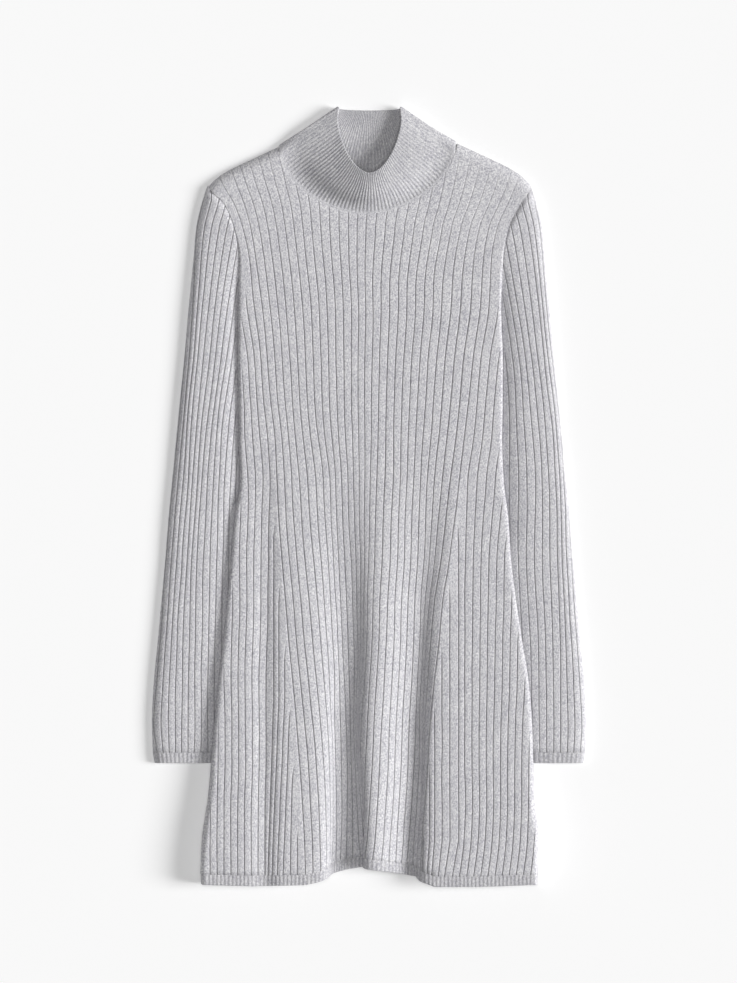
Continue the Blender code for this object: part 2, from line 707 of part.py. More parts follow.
def collar_inside(turn, step):
    """Inside of the collar: turn runs over the front from 0 to pi, then over the back."""
    row = collar_row(step)
    c, s = math.cos(turn), math.sin(turn)
    power = 2 / NECK_POWER
    neck_half = NECK_HALF_WIDTH - SEAM_GAP / 2
    half = neck_half + (RIM_HALF_WIDTH - neck_half) * row.side
    inset = COLLAR_WALL * abs(c) ** COLLAR_FOLD_POWER
    middle = NECK_X + (RIM_X - NECK_X) * row.side
    x = middle - math.copysign(half * abs(c) ** power - inset, c)
    fold_y = NECK_Y + (RIM_Y - NECK_Y) * row.side
    side_z = COLLAR_SIDE_Z + (RIM_SIDE_Z - COLLAR_SIDE_Z) * row.side
    if s >= 0:
        seam_y = NECK_Y - NECK_DEPTH + SEAM_GAP / 2
        middle_y = seam_y + (RIM_FRONT_Y - seam_y) * row.front
        top = COLLAR_FRONT_Z + (RIM_FRONT_Z - COLLAR_FRONT_Z) * row.rise
        z = side_z + (top - side_z) * s
    else:
        seam_y = NECK_Y - BACK_NECK_DEPTH + SEAM_GAP / 2
        middle_y = seam_y + (RIM_BACK_Y - seam_y) * row.side
        z = COLLAR_WALL + (side_z - COLLAR_WALL) * max(1 + s / COLLAR_FLAT_FROM, 0) ** 2
    y = fold_y + (middle_y - fold_y) * abs(s) ** power
    return np.array([x, y, z])


def collar_outside(turn, step, thickness):
    low, high = max(step - NUDGE, 0), min(step + NUDGE, len(COLLAR) - 1)
    around = collar_inside(turn + NUDGE, step) - collar_inside(turn - NUDGE, step)
    along = collar_inside(turn, high) - collar_inside(turn, low)
    out = np.cross(around, along)
    return collar_inside(turn, step) + out / np.linalg.norm(out) * thickness


def even_turns(first, last, count):
    """Turns that part the neck seam between two turns into equal lengths."""
    turns = np.linspace(first, last, SEAM_STEPS)
    path = np.array([collar_inside(turn, 0) for turn in turns])
    lengths = np.concatenate([[0], np.cumsum(np.linalg.norm(np.diff(path, axis=0), axis=1))])
    return np.interp(np.linspace(0, lengths[-1], count + 1), lengths, turns)


def make_collar():
    """A tube round the neck, finely ribbed in front, that lies flat behind."""
    front = even_turns(0, math.pi, 2 * COLLAR_RIBS)
    back = even_turns(math.pi, 2 * math.pi, COLLAR_BACK_COLUMNS)[1:-1]
    inner_front = front[::COLLAR_INNER_STEP]
    outer_rings, inner_rings = [], []
    for step, row in enumerate(COLLAR):
        ring = []
        for i, turn in enumerate(front):
            sunk = COLLAR_RIB_HEIGHT * row.fine_ribs * (i % 2 == 0) * (0 < i < len(front) - 1)
            plain = COLLAR_STRIP_DROP * (1 - row.fine_ribs) * math.sin(turn)
            ring.append(collar_outside(turn, step, COLLAR_WALL - sunk - plain))
        ring += [collar_outside(turn, step, COLLAR_WALL) for turn in back]
        for point in ring:
            point[2] = max(point[2], 0)
        outer_rings.append(ring)
        inner_rings.append([collar_inside(turn, step) for turn in (*inner_front, *back)])
    outer_keys = [turn / (2 * math.pi) for turn in (*front, *back)]
    inner_keys = [turn / (2 * math.pi) for turn in (*inner_front, *back)]
    tube("collar", outer_rings, outer_keys, inner_rings, inner_keys)


def main():
    for old in list(bpy.data.objects):
        bpy.data.objects.remove(old, do_unlink=True)
    collection = bpy.data.collections.new("SweaterDress")
    bpy.context.scene.collection.children.link(collection)
    make_front()
    make_back()
    make_hem_welt_front()
    make_hem_welt_back()
    for name, side in (("left", -1), ("right", 1)):
        make_sleeve("sleeve_" + name, side)
        make_cuff("cuff_" + name, side)
    make_collar()


main()
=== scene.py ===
import bmesh
import bpy
import numpy as np
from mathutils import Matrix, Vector


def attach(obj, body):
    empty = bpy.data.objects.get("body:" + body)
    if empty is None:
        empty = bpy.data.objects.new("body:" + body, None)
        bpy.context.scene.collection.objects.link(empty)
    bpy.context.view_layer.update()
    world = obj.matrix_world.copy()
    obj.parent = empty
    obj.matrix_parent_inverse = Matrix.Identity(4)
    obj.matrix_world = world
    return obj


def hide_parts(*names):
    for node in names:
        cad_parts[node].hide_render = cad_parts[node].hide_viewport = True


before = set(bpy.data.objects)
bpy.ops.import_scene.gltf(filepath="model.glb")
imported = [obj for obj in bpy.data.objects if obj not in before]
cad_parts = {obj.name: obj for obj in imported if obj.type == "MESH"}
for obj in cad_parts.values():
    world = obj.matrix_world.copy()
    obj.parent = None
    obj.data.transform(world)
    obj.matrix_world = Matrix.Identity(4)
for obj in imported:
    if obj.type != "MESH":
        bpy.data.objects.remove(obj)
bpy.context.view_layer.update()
print("stage: frame loaded")

# The dress lies on its back: X across, Y towards the collar, Z up. The tables are in
# millimetres, and mm turns them into the frame's metres. Rib lines, the grooves between two
# ribs, are numbered from the centre front out, as on the solids.
mm = 0.001
seamGap = 0.03  # between two pieces at a seam
# the cloth's wall, how far the ribs stand above their grooves, and how the edges turn into a seam
knit = {
    "wall": 1.7, "thinWall": 1.5, "relief": 0.9, "grooveWidth": 0.45, "crown": 0.1, "turnIn": 2.4,
    "turnDepth": 0.5,
}
weld = {"doubles": 0.01, "slivers": 0.004}  # points closer than this become one
strayWaves = {"count": 3, "shortest": 70, "longest": 190, "faintest": 0.3, "evenOut": 1.6}


def columns(names, rows):
    # a table as its named columns
    return dict(zip(names.split(), np.array(rows, float).T))


def mix(first, last, share):
    return first + (last - first) * share


def between(first, last, leaving, arriving, share):
    # smooth way from one value to the next, with its slope at both ends
    square, cube = share**2, share**3
    return (
        first * (2 * cube - 3 * square + 1)
        + leaving * (cube - 2 * square + share)
        + last * (3 * square - 2 * cube)
        + arriving * (cube - square)
    )


def curve(keys, values, at, tight=True):
    # smooth curve through the values; a tight one never swings past them
    keys, values = np.asarray(keys, float), np.asarray(values, float)
    steps = np.diff(keys)
    slopes = np.diff(values) / steps
    before, after = slopes[:-1], slopes[1:]
    if tight:
        together = before * after > 0
        inner = np.where(together, 2 * before * after / np.where(together, before + after, 1), 0)
    else:
        inner = (before * steps[:-1] + after * steps[1:]) / (steps[:-1] + steps[1:])
    tangents = np.concatenate([slopes[:1], inner, slopes[-1:]])
    at = np.clip(at, keys[0], keys[-1])
    i = np.clip(np.searchsorted(keys, at, side="right") - 1, 0, len(steps) - 1)
    leaving, arriving = tangents[i] * steps[i], tangents[i + 1] * steps[i]
    return between(values[i], values[i + 1], leaving, arriving, (at - keys[i]) / steps[i])


def ease(low, high, at):
    # 0 at low and 1 at high, and smooth between them
    share = np.clip((at - low) / (high - low), 0, 1)
    return share * share * (3 - 2 * share)


def meeting(below, low, high, halvings=36):
    # the level at which each line stops lying below an edge
    low, high = np.array(low, float), np.array(high, float)
    for _ in range(halvings):
        middle = (low + high) / 2
        inside = below(middle)
        low, high = np.where(inside, middle, low), np.where(inside, high, middle)
    return low


def wobbles(seed, count, size):
    # how far each hand-laid rib line strays to the side, by level
    draw = np.random.default_rng(seed)
    table = (count, strayWaves["count"])
    lengths = draw.uniform(strayWaves["shortest"], strayWaves["longest"], table)
    phases = draw.uniform(0, 2 * np.pi, table)
    sizes = draw.uniform(strayWaves["faintest"], 1, table) * size / strayWaves["evenOut"]

    def stray(index, y):
        index = np.clip(index, 0, count - 1)
        total = 0
        for k in range(strayWaves["count"]):
            wave = 2 * np.pi * y / lengths[index, k] + phases[index, k]
            total = total + sizes[index, k] * np.sin(wave)
        return total

    return stray


# For each level: the side edges, princess lines, first side lines and the side lines' pitch; how
# high the front's inside lies, how far its edges turn down (1 is down to the back), and how high
# the back's edges lie over the sleeves.
body = columns(
    "y left right princessLeft princessRight flankLeft flankRight pitchLeft pitchRight crown drop lift",
    [
        (400, -181, 183, -167, 171, -185, 182, 9.4, 10.2, 8.5, 0, 0),
        (351, -181, 183, -149.3, 155, -164.6, 165.2, 9.4, 10.2, 8.5, 0, 0),
        (329.75, -162.8, 170.5, -141, 146.2, -152.2, 155.9, 9.4, 10.2, 8.5, 0, 0),
        (304, -152, 157.6, -134, 135, -142.9, 144.6, 8.8, 9.6, 8.5, 0, 0),
        (272, -146, 151.4, -128.5, 129.2, -135.9, 138.1, 8.6, 9.6, 8.5, 0.2, 0),
        (213, -147, 148.6, -120.7, 125.4, -129.6, 135, 8.2, 10.4, 8.5, 1, 0),
        (154, -147, 150.4, -114.8, 116.7, -122, 125.7, 7.5, 10.1, 8.5, 1, 0),
        (109, -146.4, 150.3, -111.5, 112.4, -119.6, 122, 7.3, 9.6, 8.5, 1, 0),
        (64, -146, 149.6, -106.4, 107.1, -114.5, 117.5, 8.5, 10.2, 8.5, 1, 0),
        (18.5, -145, 151.4, -103.8, 101.4, -111.9, 111.1, 8.3, 10.4, 9, 1, 0),
        (-26.5, -151, 156.5, -101.9, 96, -113.1, 109.6, 8, 9.5, 11.2, 1, 7),
        (-72, -155, 159.5, -98.3, 90.4, -114.2, 108.5, 8.1, 8.8, 12.8, 1, 8.6),
        (-117, -159, 165, -94.4, 83, -114.2, 107.7, 8, 8.8, 13.6, 1, 8.6),
        (-162, -163.5, 171.8, -90.7, 78.5, -115.3, 107.9, 8, 8.5, 14.5, 1, 8.6),
        (-207.5, -168.9, 179, -86.4, 73.5, -116.5, 107.4, 7.9, 8.5, 15.8, 1, 8.6),
        (-252.5, -173.3, 183, -82.2, 68.9, -116.4, 107.4, 7.7, 8.2, 17.2, 1, 8.6),
        (-304, -177.6, 184.6, -78.2, 65.9, -116.5, 107.7, 7.7, 8, 18.6, 1, 8.6),
        (-343, -181.5, 186, -75.5, 63.1, -117.5, 108.5, 7.7, 7.9, 20, 1, 0),
        (-388, -188, 190.5, -72.8, 59.3, -117.6, 106.7, 7.7, 7.9, 21.5, 1, 0),
        (-425, -189.7, 190, -72, 57.6, -117.5, 101.7, 7.7, 8, 22, 1, 0),
    ],
)
# where each rib line between the princess lines lies, as a share of the way across
spread = columns(
    "rib yoke chest waist",
    [
        (-13, 0, 0, 0),
        (-10, 0.109, 0.109, 0.116),
        (-7, 0.219, 0.223, 0.248),
        (-4, 0.332, 0.334, 0.348),
        (-2, 0.410, 0.408, 0.414),
        (0, 0.484, 0.474, 0.478),
        (2, 0.565, 0.545, 0.545),
        (4, 0.646, 0.624, 0.635),
        (7, 0.765, 0.742, 0.744),
        (10, 0.882, 0.865, 0.859),
        (13, 1, 1, 1),
    ],
)
# lines that start in the skirt, numbered out from the princess line
added = columns(
    "number leftStart leftHem rightStart rightHem",
    [
        (1, 81.4, 81.2, 61, 60.3),
        (2, 84.8, 89.2, 67.8, 65.3),
        (3, 89.3, 97.1, 73.6, 70.1),
        (4, 95.4, 103.8, 81.9, 77.6),
        (5, 102, 109.6, 90.7, 84.9),
        (6, 107.9, 114.1, 100.6, 93.8),
    ],
)
addedTurn = {"left": -230, "right": -388}  # where they leave their starting line
# place and height of the rib lines in the skirt's folds, in its middle, low down and at the hem
folds = columns(
    "rib midX midZ lowX lowZ hemX hemZ",
    [
        (-13, -90.7, 14.5, -78.4, 18.5, -72.3, 22),
        (-11, -73.5, 14.6, -60.2, 17.6, -55.6, 20.4),
        (-10, -64.4, 13.8, -52.4, 15.4, -49.7, 15.4),
        (-9, -55.4, 12.2, -46.3, 11.8, -46.8, 8.8),
        (-8, -48.6, 9.7, -42.6, 7.8, -43.3, 4.4),
        (-7, -41.8, 7, -38.4, 4.4, -37.3, 3),
        (-5, -30.5, 3.7, -24.7, 3.2, -25.9, 3),
        (-3, -16.8, 4.6, -15.7, 3.6, -9.3, 3),
        (-2, -11.8, 6.5, -12.3, 4.8, -1.5, 3),
        (-1, -8, 8.8, -9.8, 7, 5.8, 3.3),
        (0, -5, 11.3, -8.2, 10.6, 9, 7.6),
        (1, -1.8, 13.5, -6.9, 14.4, 4.4, 12.2),
        (2, 3.6, 15.3, -2.9, 17.9, -3.4, 15),
        (3, 10.6, 16, 3.4, 19.4, -2.6, 20.6),
        (4, 18.8, 15, 11.3, 18.6, 4.5, 22.6),
        (5, 27.1, 12.6, 20.3, 15.6, 13.7, 20.4),
        (7, 41.8, 7.6, 35, 8.2, 29.4, 12),
        (9, 57, 5.4, 50.6, 4, 43.1, 5.6),
        (11, 66, 8.2, 61, 4.6, 56.4, 4),
        (12, 70.8, 11.6, 64, 9.4, 57.9, 9),
        (13, 78.5, 14.5, 65.9, 16, 58.8, 16.6),
    ],
)
# how far the skirt has fallen: 1, 2 and 3 are the sections of the table above
fallen = {
    "y": (-425, -298, -162, -117, -72, -26.5, 18.5, 64, 400),
    "share": (3, 2, 1, 0.76, 0.52, 0.3, 0.12, 0, 0),
}
frontHem = {
    "rib": (-28, -20, -13, -11.5, -10, -7, -3, 1, 4, 9, 11, 13, 15, 21, 28),
    "y": (
        -437.5, -439.2, -437.9, -435.3, -431.4, -424.5, -418.5, -417.5,
        -421, -427, -429.5, -434, -440, -440, -437.9,
    ),
}
backHem = {
    "x": (-190, -76, -52, -46, -8, 2, 62, 72, 84, 190),
    "y": (-436, -436, -429.5, -421.5, -415.5, -418, -426, -434.5, -437.5, -436),
}
princess = 13  # the princess lines are the rib lines of this number, left and right
# levels are given as y; a fade runs from where it starts to where it is whole
dress = {
    "sideRibs": 18, "addedRibs": 6, "addFrom": 23, "addStep": 68,
    "pitch": 8.2, "highest": 400, "yoke": 304, "skirtEnd": -380, "hemFrom": -388, "hem": -425,
    "welt": 12, "backWall": 2.2, "backGap": 0.3, "flatCrown": 8.5,
    "edgeRound": 2.4, "edgeRoundGrowth": 0.1, "edgeTurn": 0.8, "settle": 6,
    "dipX": -118, "dipHalfWidth": 12, "dipDepth": 3.5,
    "yokeFade": (233, 301), "waistFade": (86, 18.5), "strayFade": (300, 250), "strayEdge": 8,
}
neck = {
    "x": -2, "y": 397.25, "tilt": 0.0225, "halfWidth": 100, "depth": 77.25, "backDepth": 34,
    "power": 1.82,
}
shoulder = {
    "tipY": 350, "leftTip": -181, "rightTip": 183, "slope": 0.465, "roundPower": 8.5, "roll": 7.1,
    "rollWidth": 15,
}


def level(name, y):
    return curve(-body["y"], body[name], -np.asarray(y, float))


def sideLevel(side, name, y):
    # a measure with a column for the left side and one for the right
    return np.where(side > 0, level(name + "Right", y), level(name + "Left", y))


def ribPitch(y):
    across = level("princessRight", y) - level("princessLeft", y)
    return np.maximum(across / (2 * princess), dress["pitch"])


def ribsMissing(y):
    return np.clip(dress["addedRibs"] - (dress["addFrom"] - y) / dress["addStep"], 0, dress["addedRibs"])


def centreSection(rib, y):
    # inside of the front between the princess lines: share across, then height
    share = curve(fallen["y"], fallen["share"], y)
    rib = rib + np.zeros_like(share)

    def atRib(table, name):
        return curve(table["rib"], table[name], rib, tight=False)

    upper = mix(atRib(spread, "chest"), atRib(spread, "yoke"), ease(*dress["yokeFade"], y))
    across = mix(upper, atRib(spread, "waist"), ease(*dress["waistFade"], y))
    stations = [(across, level("crown", y))]
    for name in ("mid", "low", "hem"):
        x = folds[name + "X"]
        stations.append(((atRib(folds, name + "X") - x[0]) / (x[-1] - x[0]), atRib(folds, name + "Z")))
    point = []
    for axis in (0, 1):
        values = np.array(np.broadcast_arrays(*(station[axis] for station in stations)))
        slopes = np.gradient(values, axis=0)
        i = np.minimum(np.floor(share).astype(int), len(stations) - 2)
        ends = [
            np.take_along_axis(table, k[None], 0)[0] for table in (values, slopes) for k in (i, i + 1)
        ]
        point.append(between(*ends, share - i))
    return mix(level("princessLeft", y), level("princessRight", y), point[0]), point[1]


def centrePoint(rib, y, thickness, step=0.03):
    # moved out square to the cloth; the last half rib turns upright to meet the side
    x, z = centreSection(rib, y)
    x1, z1 = centreSection(rib + step, y)
    x0, z0 = centreSection(rib - step, y)
    across, up = x1 - x0, z1 - z0
    length = np.hypot(across, up)
    upright = ease(princess - 0.5, princess, np.abs(rib))
    nx = -up / length * (1 - upright)
    nz = across / length * (1 - upright) + upright
    length = np.hypot(nx, nz)
    return x + nx / length * thickness, z + nz / length * thickness


def sideWidth(side, y):
    right = level("right", y) - level("princessRight", y)
    left = level("princessLeft", y) - level("left", y)
    return np.where(side > 0, right, left)


def sidePoint(side, reach, y, thickness):
    # front outside the princess line, reach millimetres out from it
    width, crown, drop = sideWidth(side, y), level("crown", y), level("drop", y)
    x = sideLevel(side, "princess", y) + side * reach
    seam = level("lift", y) + dress["backWall"] + dress["backGap"]
    inner = np.where(side > 0, centreSection(princess, y)[1], centreSection(-princess, y)[1])
    plateau = mix(crown, inner, np.exp(-reach / dress["settle"]))
    dip = np.exp(-(((x - dress["dipX"]) / dress["dipHalfWidth"]) ** 2))
    plateau = plateau - dress["dipDepth"] * np.clip(curve(fallen["y"], fallen["share"], y), 0, 1) * dip
    radius = dress["edgeRound"] + dress["edgeRoundGrowth"] * (crown - dress["flatCrown"])
    inward = np.clip((width - reach) / radius, 0, 1)
    lowered = (plateau - seam) * drop * (1 - np.sqrt(1 - (1 - inward) ** 2))
    tilt = np.pi / 2 * drop * (1 - inward) ** dress["edgeTurn"]
    x = x - side * knit["wall"] * np.sin(tilt) + side * np.sin(tilt) * thickness
    return x, plateau - lowered + np.cos(tilt) * thickness


def neckLine(x):
    # the straight line between the two neck points
    return neck["y"] + neck["tilt"] * (x - neck["x"])


def topEdge(x, depth):
    # the neck seam, or the shoulder seam beside it
    half, power = neck["halfWidth"] + seamGap, neck["power"]
    across = np.abs(x - neck["x"]) / half
    seam = neckLine(x) - (depth + seamGap) * (1 - np.minimum(across, 1) ** power) ** (1 / power)
    return np.where(across < 1, seam, shoulderLine(x))


def shoulderLine(x):
    # runs on straight past the neck point, so that the cloth can be turned down along it
    side = np.where(x > neck["x"], 1, -1)
    point = neck["x"] + side * (neck["halfWidth"] + seamGap)
    pointY = neckLine(point)
    tip = np.where(side > 0, shoulder["rightTip"], shoulder["leftTip"])
    share = np.minimum((x - point) / (tip - point), 1)
    fall = shoulder["slope"] * np.abs(tip - point)
    rounding = (pointY - fall - shoulder["tipY"]) * np.maximum(share, 0) ** shoulder["roundPower"]
    return pointY - fall * share - rounding


def shoulderFall(x, y):
    # how far the front comes down to the back beside the shoulder line
    return shoulder["roll"] * (1 - np.sqrt(1 - ease(shoulder["rollWidth"], 0, shoulderLine(x) - y) ** 2))


# One cell of the front runs from one rib line to the next. The columns of its mesh lie close
# together at the groove and far apart over the flat rib.
cellShares = np.array([0, 0.04, 0.085, 0.15, 0.5, 0.85, 0.915, 0.96])
edgeInsets = np.array([1.8, 1.2, 0.7, 0.3, 0.1, 0.0])  # columns that follow a side edge
edgeRoom = edgeInsets[0] + 0.2
neckCorner = {"ribs": (7, 11), "shares": np.array([0.25, 0.375, 0.625, 0.75])}
sideLines = {"start": (0.85, 1.0), "armholeFade": (228.0, 218.0), "room": 0.3, "roomFade": 0.25}
# grooves get shallower up the yoke, and most so at the right: how much, from and to
yokeGrooves = [(0.3, 250, 330), (0.3, 330, 390)]
rightGrooves = (0.25, 200, 300)
strayLines = 80
strayFront = wobbles(seed=3, count=strayLines, size=0.3)
lastLine = princess + dress["sideRibs"]


def lineReach(side, number, y):
    # how far out from the princess line a numbered side line lies
    right = side > 0
    innermost, flank = (side * sideLevel(side, name, y) for name in ("princess", "flank"))
    outer = flank - innermost + (number - dress["addedRibs"] - 1) * sideLevel(side, "pitch", y)
    k = np.clip(number, 1, dress["addedRibs"]).astype(int) - 1
    start = np.where(right, added["rightStart"][k], added["leftStart"][k])
    hem = np.where(right, added["rightHem"][k], added["leftHem"][k])
    turn = np.where(right, addedTurn["right"], addedTurn["left"])
    inner = mix(start, hem, np.clip((turn - y) / (turn - dress["hem"]), 0, 1)) - innermost
    inner = np.maximum(inner, 0) * np.clip(number - ribsMissing(y), 0, 1)
    return np.where(number > dress["addedRibs"], outer, np.where(number < 1, 0, inner))


def lineStrength(side, number, y):
    # 1 where a side line is a full groove, 0 where it hasn't started or has run off the cloth
    first = dress["addedRibs"] + 1
    started = np.where(number < first, ease(*sideLines["start"], number - ribsMissing(y)), 1)
    started = np.where(number > first, ease(*sideLines["armholeFade"], y), started)
    room = sideWidth(side, y) - lineReach(side, number, y) - sideLines["room"] * dress["pitch"]
    return started * np.clip(room / (sideLines["roomFade"] * dress["pitch"]), 0, 1)


def frontColumns(shares):
    # the rib number of each column, with more of them where the shoulder meets the neck; past
    # the last cell the columns follow the side edge
    ribs = np.append((np.arange(-lastLine, lastLine)[:, None] + shares).ravel(), lastLine)
    corner = (np.arange(*neckCorner["ribs"])[:, None] + neckCorner["shares"]).ravel()
    ribs = np.unique(np.concatenate([ribs, corner, -corner]))
    beyond = lastLine + 1 + np.arange(len(edgeInsets))
    return np.concatenate([-beyond[::-1], ribs, beyond])


def frontReach(ribs, side, y):
    # reach of each column out from its princess line, 0 between the princess lines
    number = np.maximum(np.abs(ribs) - princess, 0)
    low = np.floor(number)
    near, far = lineReach(side, low, y), lineReach(side, low + 1, y)
    width = sideWidth(side, y)
    reach = np.clip(mix(near, far, number - low), 0, width - edgeRoom)
    inset = np.interp(np.abs(ribs) - lastLine - 1, np.arange(len(edgeInsets)), edgeInsets)
    return np.where(np.abs(ribs) > lastLine, width - inset, np.where(number > 0, reach, 0))


def frontSurface(ribs, side, reach, y, thickness):
    cx, cz = centrePoint(np.clip(ribs, -princess, princess), y, thickness)
    sx, sz = sidePoint(side, reach, y, thickness)
    centre = np.abs(ribs) <= princess
    return np.where(centre, cx, sx), np.where(centre, cz, sz)


def grooveAt(ribs, side, reach, y):
    # depth of the nearest groove at each point, from 0 on the flat of a rib to 1
    away = np.abs(ribs - np.rint(ribs)) * ribPitch(y)
    away = np.where(np.abs(ribs) > princess, reach, away)
    depth = np.exp(-((away / knit["grooveWidth"]) ** 2))
    number = np.floor(np.maximum(np.abs(ribs) - princess, 0))
    for line in (number, number + 1):
        away = reach - lineReach(side, line, y)
        groove = lineStrength(side, line, y) * np.exp(-((away / knit["grooveWidth"]) ** 2))
        depth = np.maximum(depth, np.where((line > 0) & (reach > 0), groove, 0))
    shallow = sum(share * ease(start, end, y) for share, start, end in yokeGrooves)
    share, start, end = rightGrooves
    shallow = shallow + share * ease(start, end, y) * ease(0, princess, ribs)
    return depth * (1 - shallow)


def panelLevels(ribs, across, depth, yokeRows, bodyRows, hemTop):
    # level of every row by column: from the neck or shoulder down to the yoke, then to the hem
    start = np.full(ribs.shape, dress["yoke"])
    highest = np.full(ribs.shape, dress["highest"])
    top = meeting(lambda y: y < topEdge(across(y), depth), start, highest)
    # every column has the same levels, up to the last few beside its own top
    yoke = np.minimum(yokeRows[None], top[:, None] - topRows[0])
    yoke = np.concatenate([top[:, None] - topRows[None, ::-1], yoke], axis=1)
    low = np.broadcast_to(bodyRows, (len(ribs), len(bodyRows)))
    section = np.concatenate([yoke, low], axis=1)
    span = np.minimum(section - dress["hemFrom"], 0) / (dress["hem"] - dress["hemFrom"])
    y = np.where(span > 0, mix(dress["hemFrom"], hemTop[:, None], span), section)
    return section, y, top


def addObject(name, data):
    thing = bpy.data.objects.new(name, data)
    bpy.context.scene.collection.objects.link(thing)
    return thing


def clothPiece(name, points, groove, laidOut, wall, tube=False):
    # a grid of cloth put at its points x, y, z, with its place in the flat cloth as its UV map
    points, laidOut = np.stack(points, axis=-1), np.stack(laidOut, axis=-1)
    across, down = groove.shape
    mesh = bpy.data.meshes.new(name)
    grid = bmesh.new()
    bmesh.ops.create_grid(grid, x_segments=across - 1, y_segments=down - 1, size=0.5)
    grid.to_mesh(mesh)
    grid.free()
    flat = np.empty(len(mesh.vertices) * 3)
    mesh.vertices.foreach_get("co", flat)
    i = np.rint((flat[0::3] + 0.5) * (across - 1)).astype(int)
    j = np.rint((0.5 - flat[1::3]) * (down - 1)).astype(int)
    mesh.vertices.foreach_set("co", (points[i, j] * mm).ravel())
    mesh.attributes.new("groove", "FLOAT", "POINT").data.foreach_set("value", groove[i, j])
    corner = np.empty(len(mesh.loops), int)
    mesh.loops.foreach_get("vertex_index", corner)
    layer = mesh.uv_layers.new(name="cloth")
    layer.data.foreach_set("uv", (laidOut[i, j] * mm)[corner].ravel())
    # lines that haven't started lie on each other, and a tube's two edges meet
    cloth = bmesh.new()
    cloth.from_mesh(mesh)
    bmesh.ops.remove_doubles(cloth, verts=cloth.verts, dist=weld["doubles"] * mm)
    bmesh.ops.dissolve_degenerate(cloth, edges=cloth.edges, dist=weld["slivers"] * mm)
    # the grid's faces all turn the same way; a tube's face out, a sheet's towards its outside
    cloth.normal_update()
    middle = sum((v.co for v in cloth.verts), Vector()) / len(cloth.verts)
    outward = Vector((0, 0, wall))
    facing = 0
    for face in cloth.faces:
        direction = face.calc_center_median() - middle if tube else outward
        facing += face.normal.dot(direction) * face.calc_area()
    if facing < 0:
        bmesh.ops.reverse_faces(cloth, faces=cloth.faces)
    cloth.to_mesh(mesh)
    cloth.free()
    mesh.shade_smooth()
    piece = addObject(name, mesh)
    if wall:
        solid = piece.modifiers.new("wall", "SOLIDIFY")
        solid.thickness = abs(wall) * mm
        solid.offset = -1
    area = round(sum(face.area for face in mesh.polygons), 4)
    print("stage:", name, len(mesh.polygons), "faces,", area, "m2")
    return piece


topRows = np.array([2.6, 1.2, 0.0])  # a column's last rows, down from its own top
yokeLevels = np.linspace(397, 308, 21)


def bodyLevels(count, hemCount):
    skirt = np.linspace(dress["yoke"], dress["skirtEnd"], count)
    return np.concatenate([skirt, np.linspace(dress["hemFrom"], dress["hem"], hemCount)])


def placeAcross(ribs, side, reach):
    # in ribs from the centre front; outside the princess line it goes by the reach
    outside = side * (princess + reach / dress["pitch"])
    return np.where(np.abs(ribs) <= princess, ribs, outside)


def makeFront():
    ribs = frontColumns(cellShares)
    side = np.where(ribs < 0, -1.0, 1.0)
    hemPlace = placeAcross(ribs, side, frontReach(ribs, side, np.full(ribs.shape, dress["hem"])))
    hemTop = np.interp(hemPlace, frontHem["rib"], frontHem["y"]) + dress["welt"] + seamGap

    def across(y):
        return frontSurface(ribs, side, frontReach(ribs, side, y), y, 0)[0]

    rows = bodyLevels(count=64, hemCount=6)
    section, y, top = panelLevels(ribs, across, neck["depth"], yokeLevels, rows, hemTop)
    ribs, side = ribs[:, None] + 0 * section, side[:, None] + 0 * section
    reach = frontReach(ribs, side, section)
    groove = grooveAt(ribs, side, reach, section)
    # the upper edge turns down into the seam
    turned = ease(knit["turnIn"], 0, top[:, None] - section)
    thickness = knit["wall"] + knit["relief"] * (1 - groove) + knit["crown"] - knit["turnDepth"] * turned
    x, z = frontSurface(ribs, side, reach, section, thickness)
    z = z - shoulderFall(x, y)
    place = placeAcross(ribs, side, reach)
    line = np.floor(place).astype(int)
    share = place - line
    near = strayFront(line + strayLines // 2, section)
    far = strayFront(line + strayLines // 2 + 1, section)
    stray = near * (1 - share) + far * share
    width = sideWidth(side, section)
    x = x + stray * ease(*dress["strayFade"], section) * ease(0, dress["strayEdge"], width - reach)
    return clothPiece("frontPanel", (x, y, z), groove, (place * dress["pitch"], y), knit["wall"])


underside = {
    "shares": np.array([0, 0.12, 0.5, 0.88]), "relief": 0.6, "lifted": (14, 11), "edgeRise": 0.3,
    "edgeWidth": 2,
}


def makeBack():
    # lies face down: its ribs are on the underside, and its edges rise over the sleeves
    ribs = frontColumns(underside["shares"])
    side = np.where(ribs < 0, -1.0, 1.0)

    def place(ribs, side, reach, y):
        left, right = level("princessLeft", y), level("princessRight", y)
        centre = left + (right - left) * (ribs + princess) / (2 * princess)
        outside = np.where(side > 0, right, left) + side * reach
        return np.where(np.abs(ribs) <= princess, centre, outside)

    def across(y):
        return place(ribs, side, frontReach(ribs, side, y), y)

    hemTop = np.interp(across(np.full(ribs.shape, dress["hem"])), backHem["x"], backHem["y"])
    hemTop = hemTop + dress["welt"] + seamGap
    rows = bodyLevels(count=50, hemCount=4)
    section, y, _ = panelLevels(ribs, across, neck["backDepth"], yokeLevels[::3], rows, hemTop)
    ribs, side = ribs[:, None] + 0 * section, side[:, None] + 0 * section
    reach = frontReach(ribs, side, section)
    x = place(ribs, side, reach, section)
    groove = grooveAt(ribs, side, reach, section)
    inward = np.minimum(x - level("left", section), level("right", section) - x)
    liftFrom, liftOver = underside["lifted"]
    lift = level("lift", section) * np.clip((liftFrom - inward) / liftOver, 0, 1)
    edge = underside["edgeRise"] * ease(underside["edgeWidth"], 0, inward)
    z = lift + underside["relief"] * groove + edge
    pitch = ribPitch(section)
    along = np.where(np.abs(ribs) <= princess, ribs * pitch, side * (princess * pitch + reach))
    return clothPiece("backPanel", (x, y, z), groove, (along, y), -knit["thinWall"])


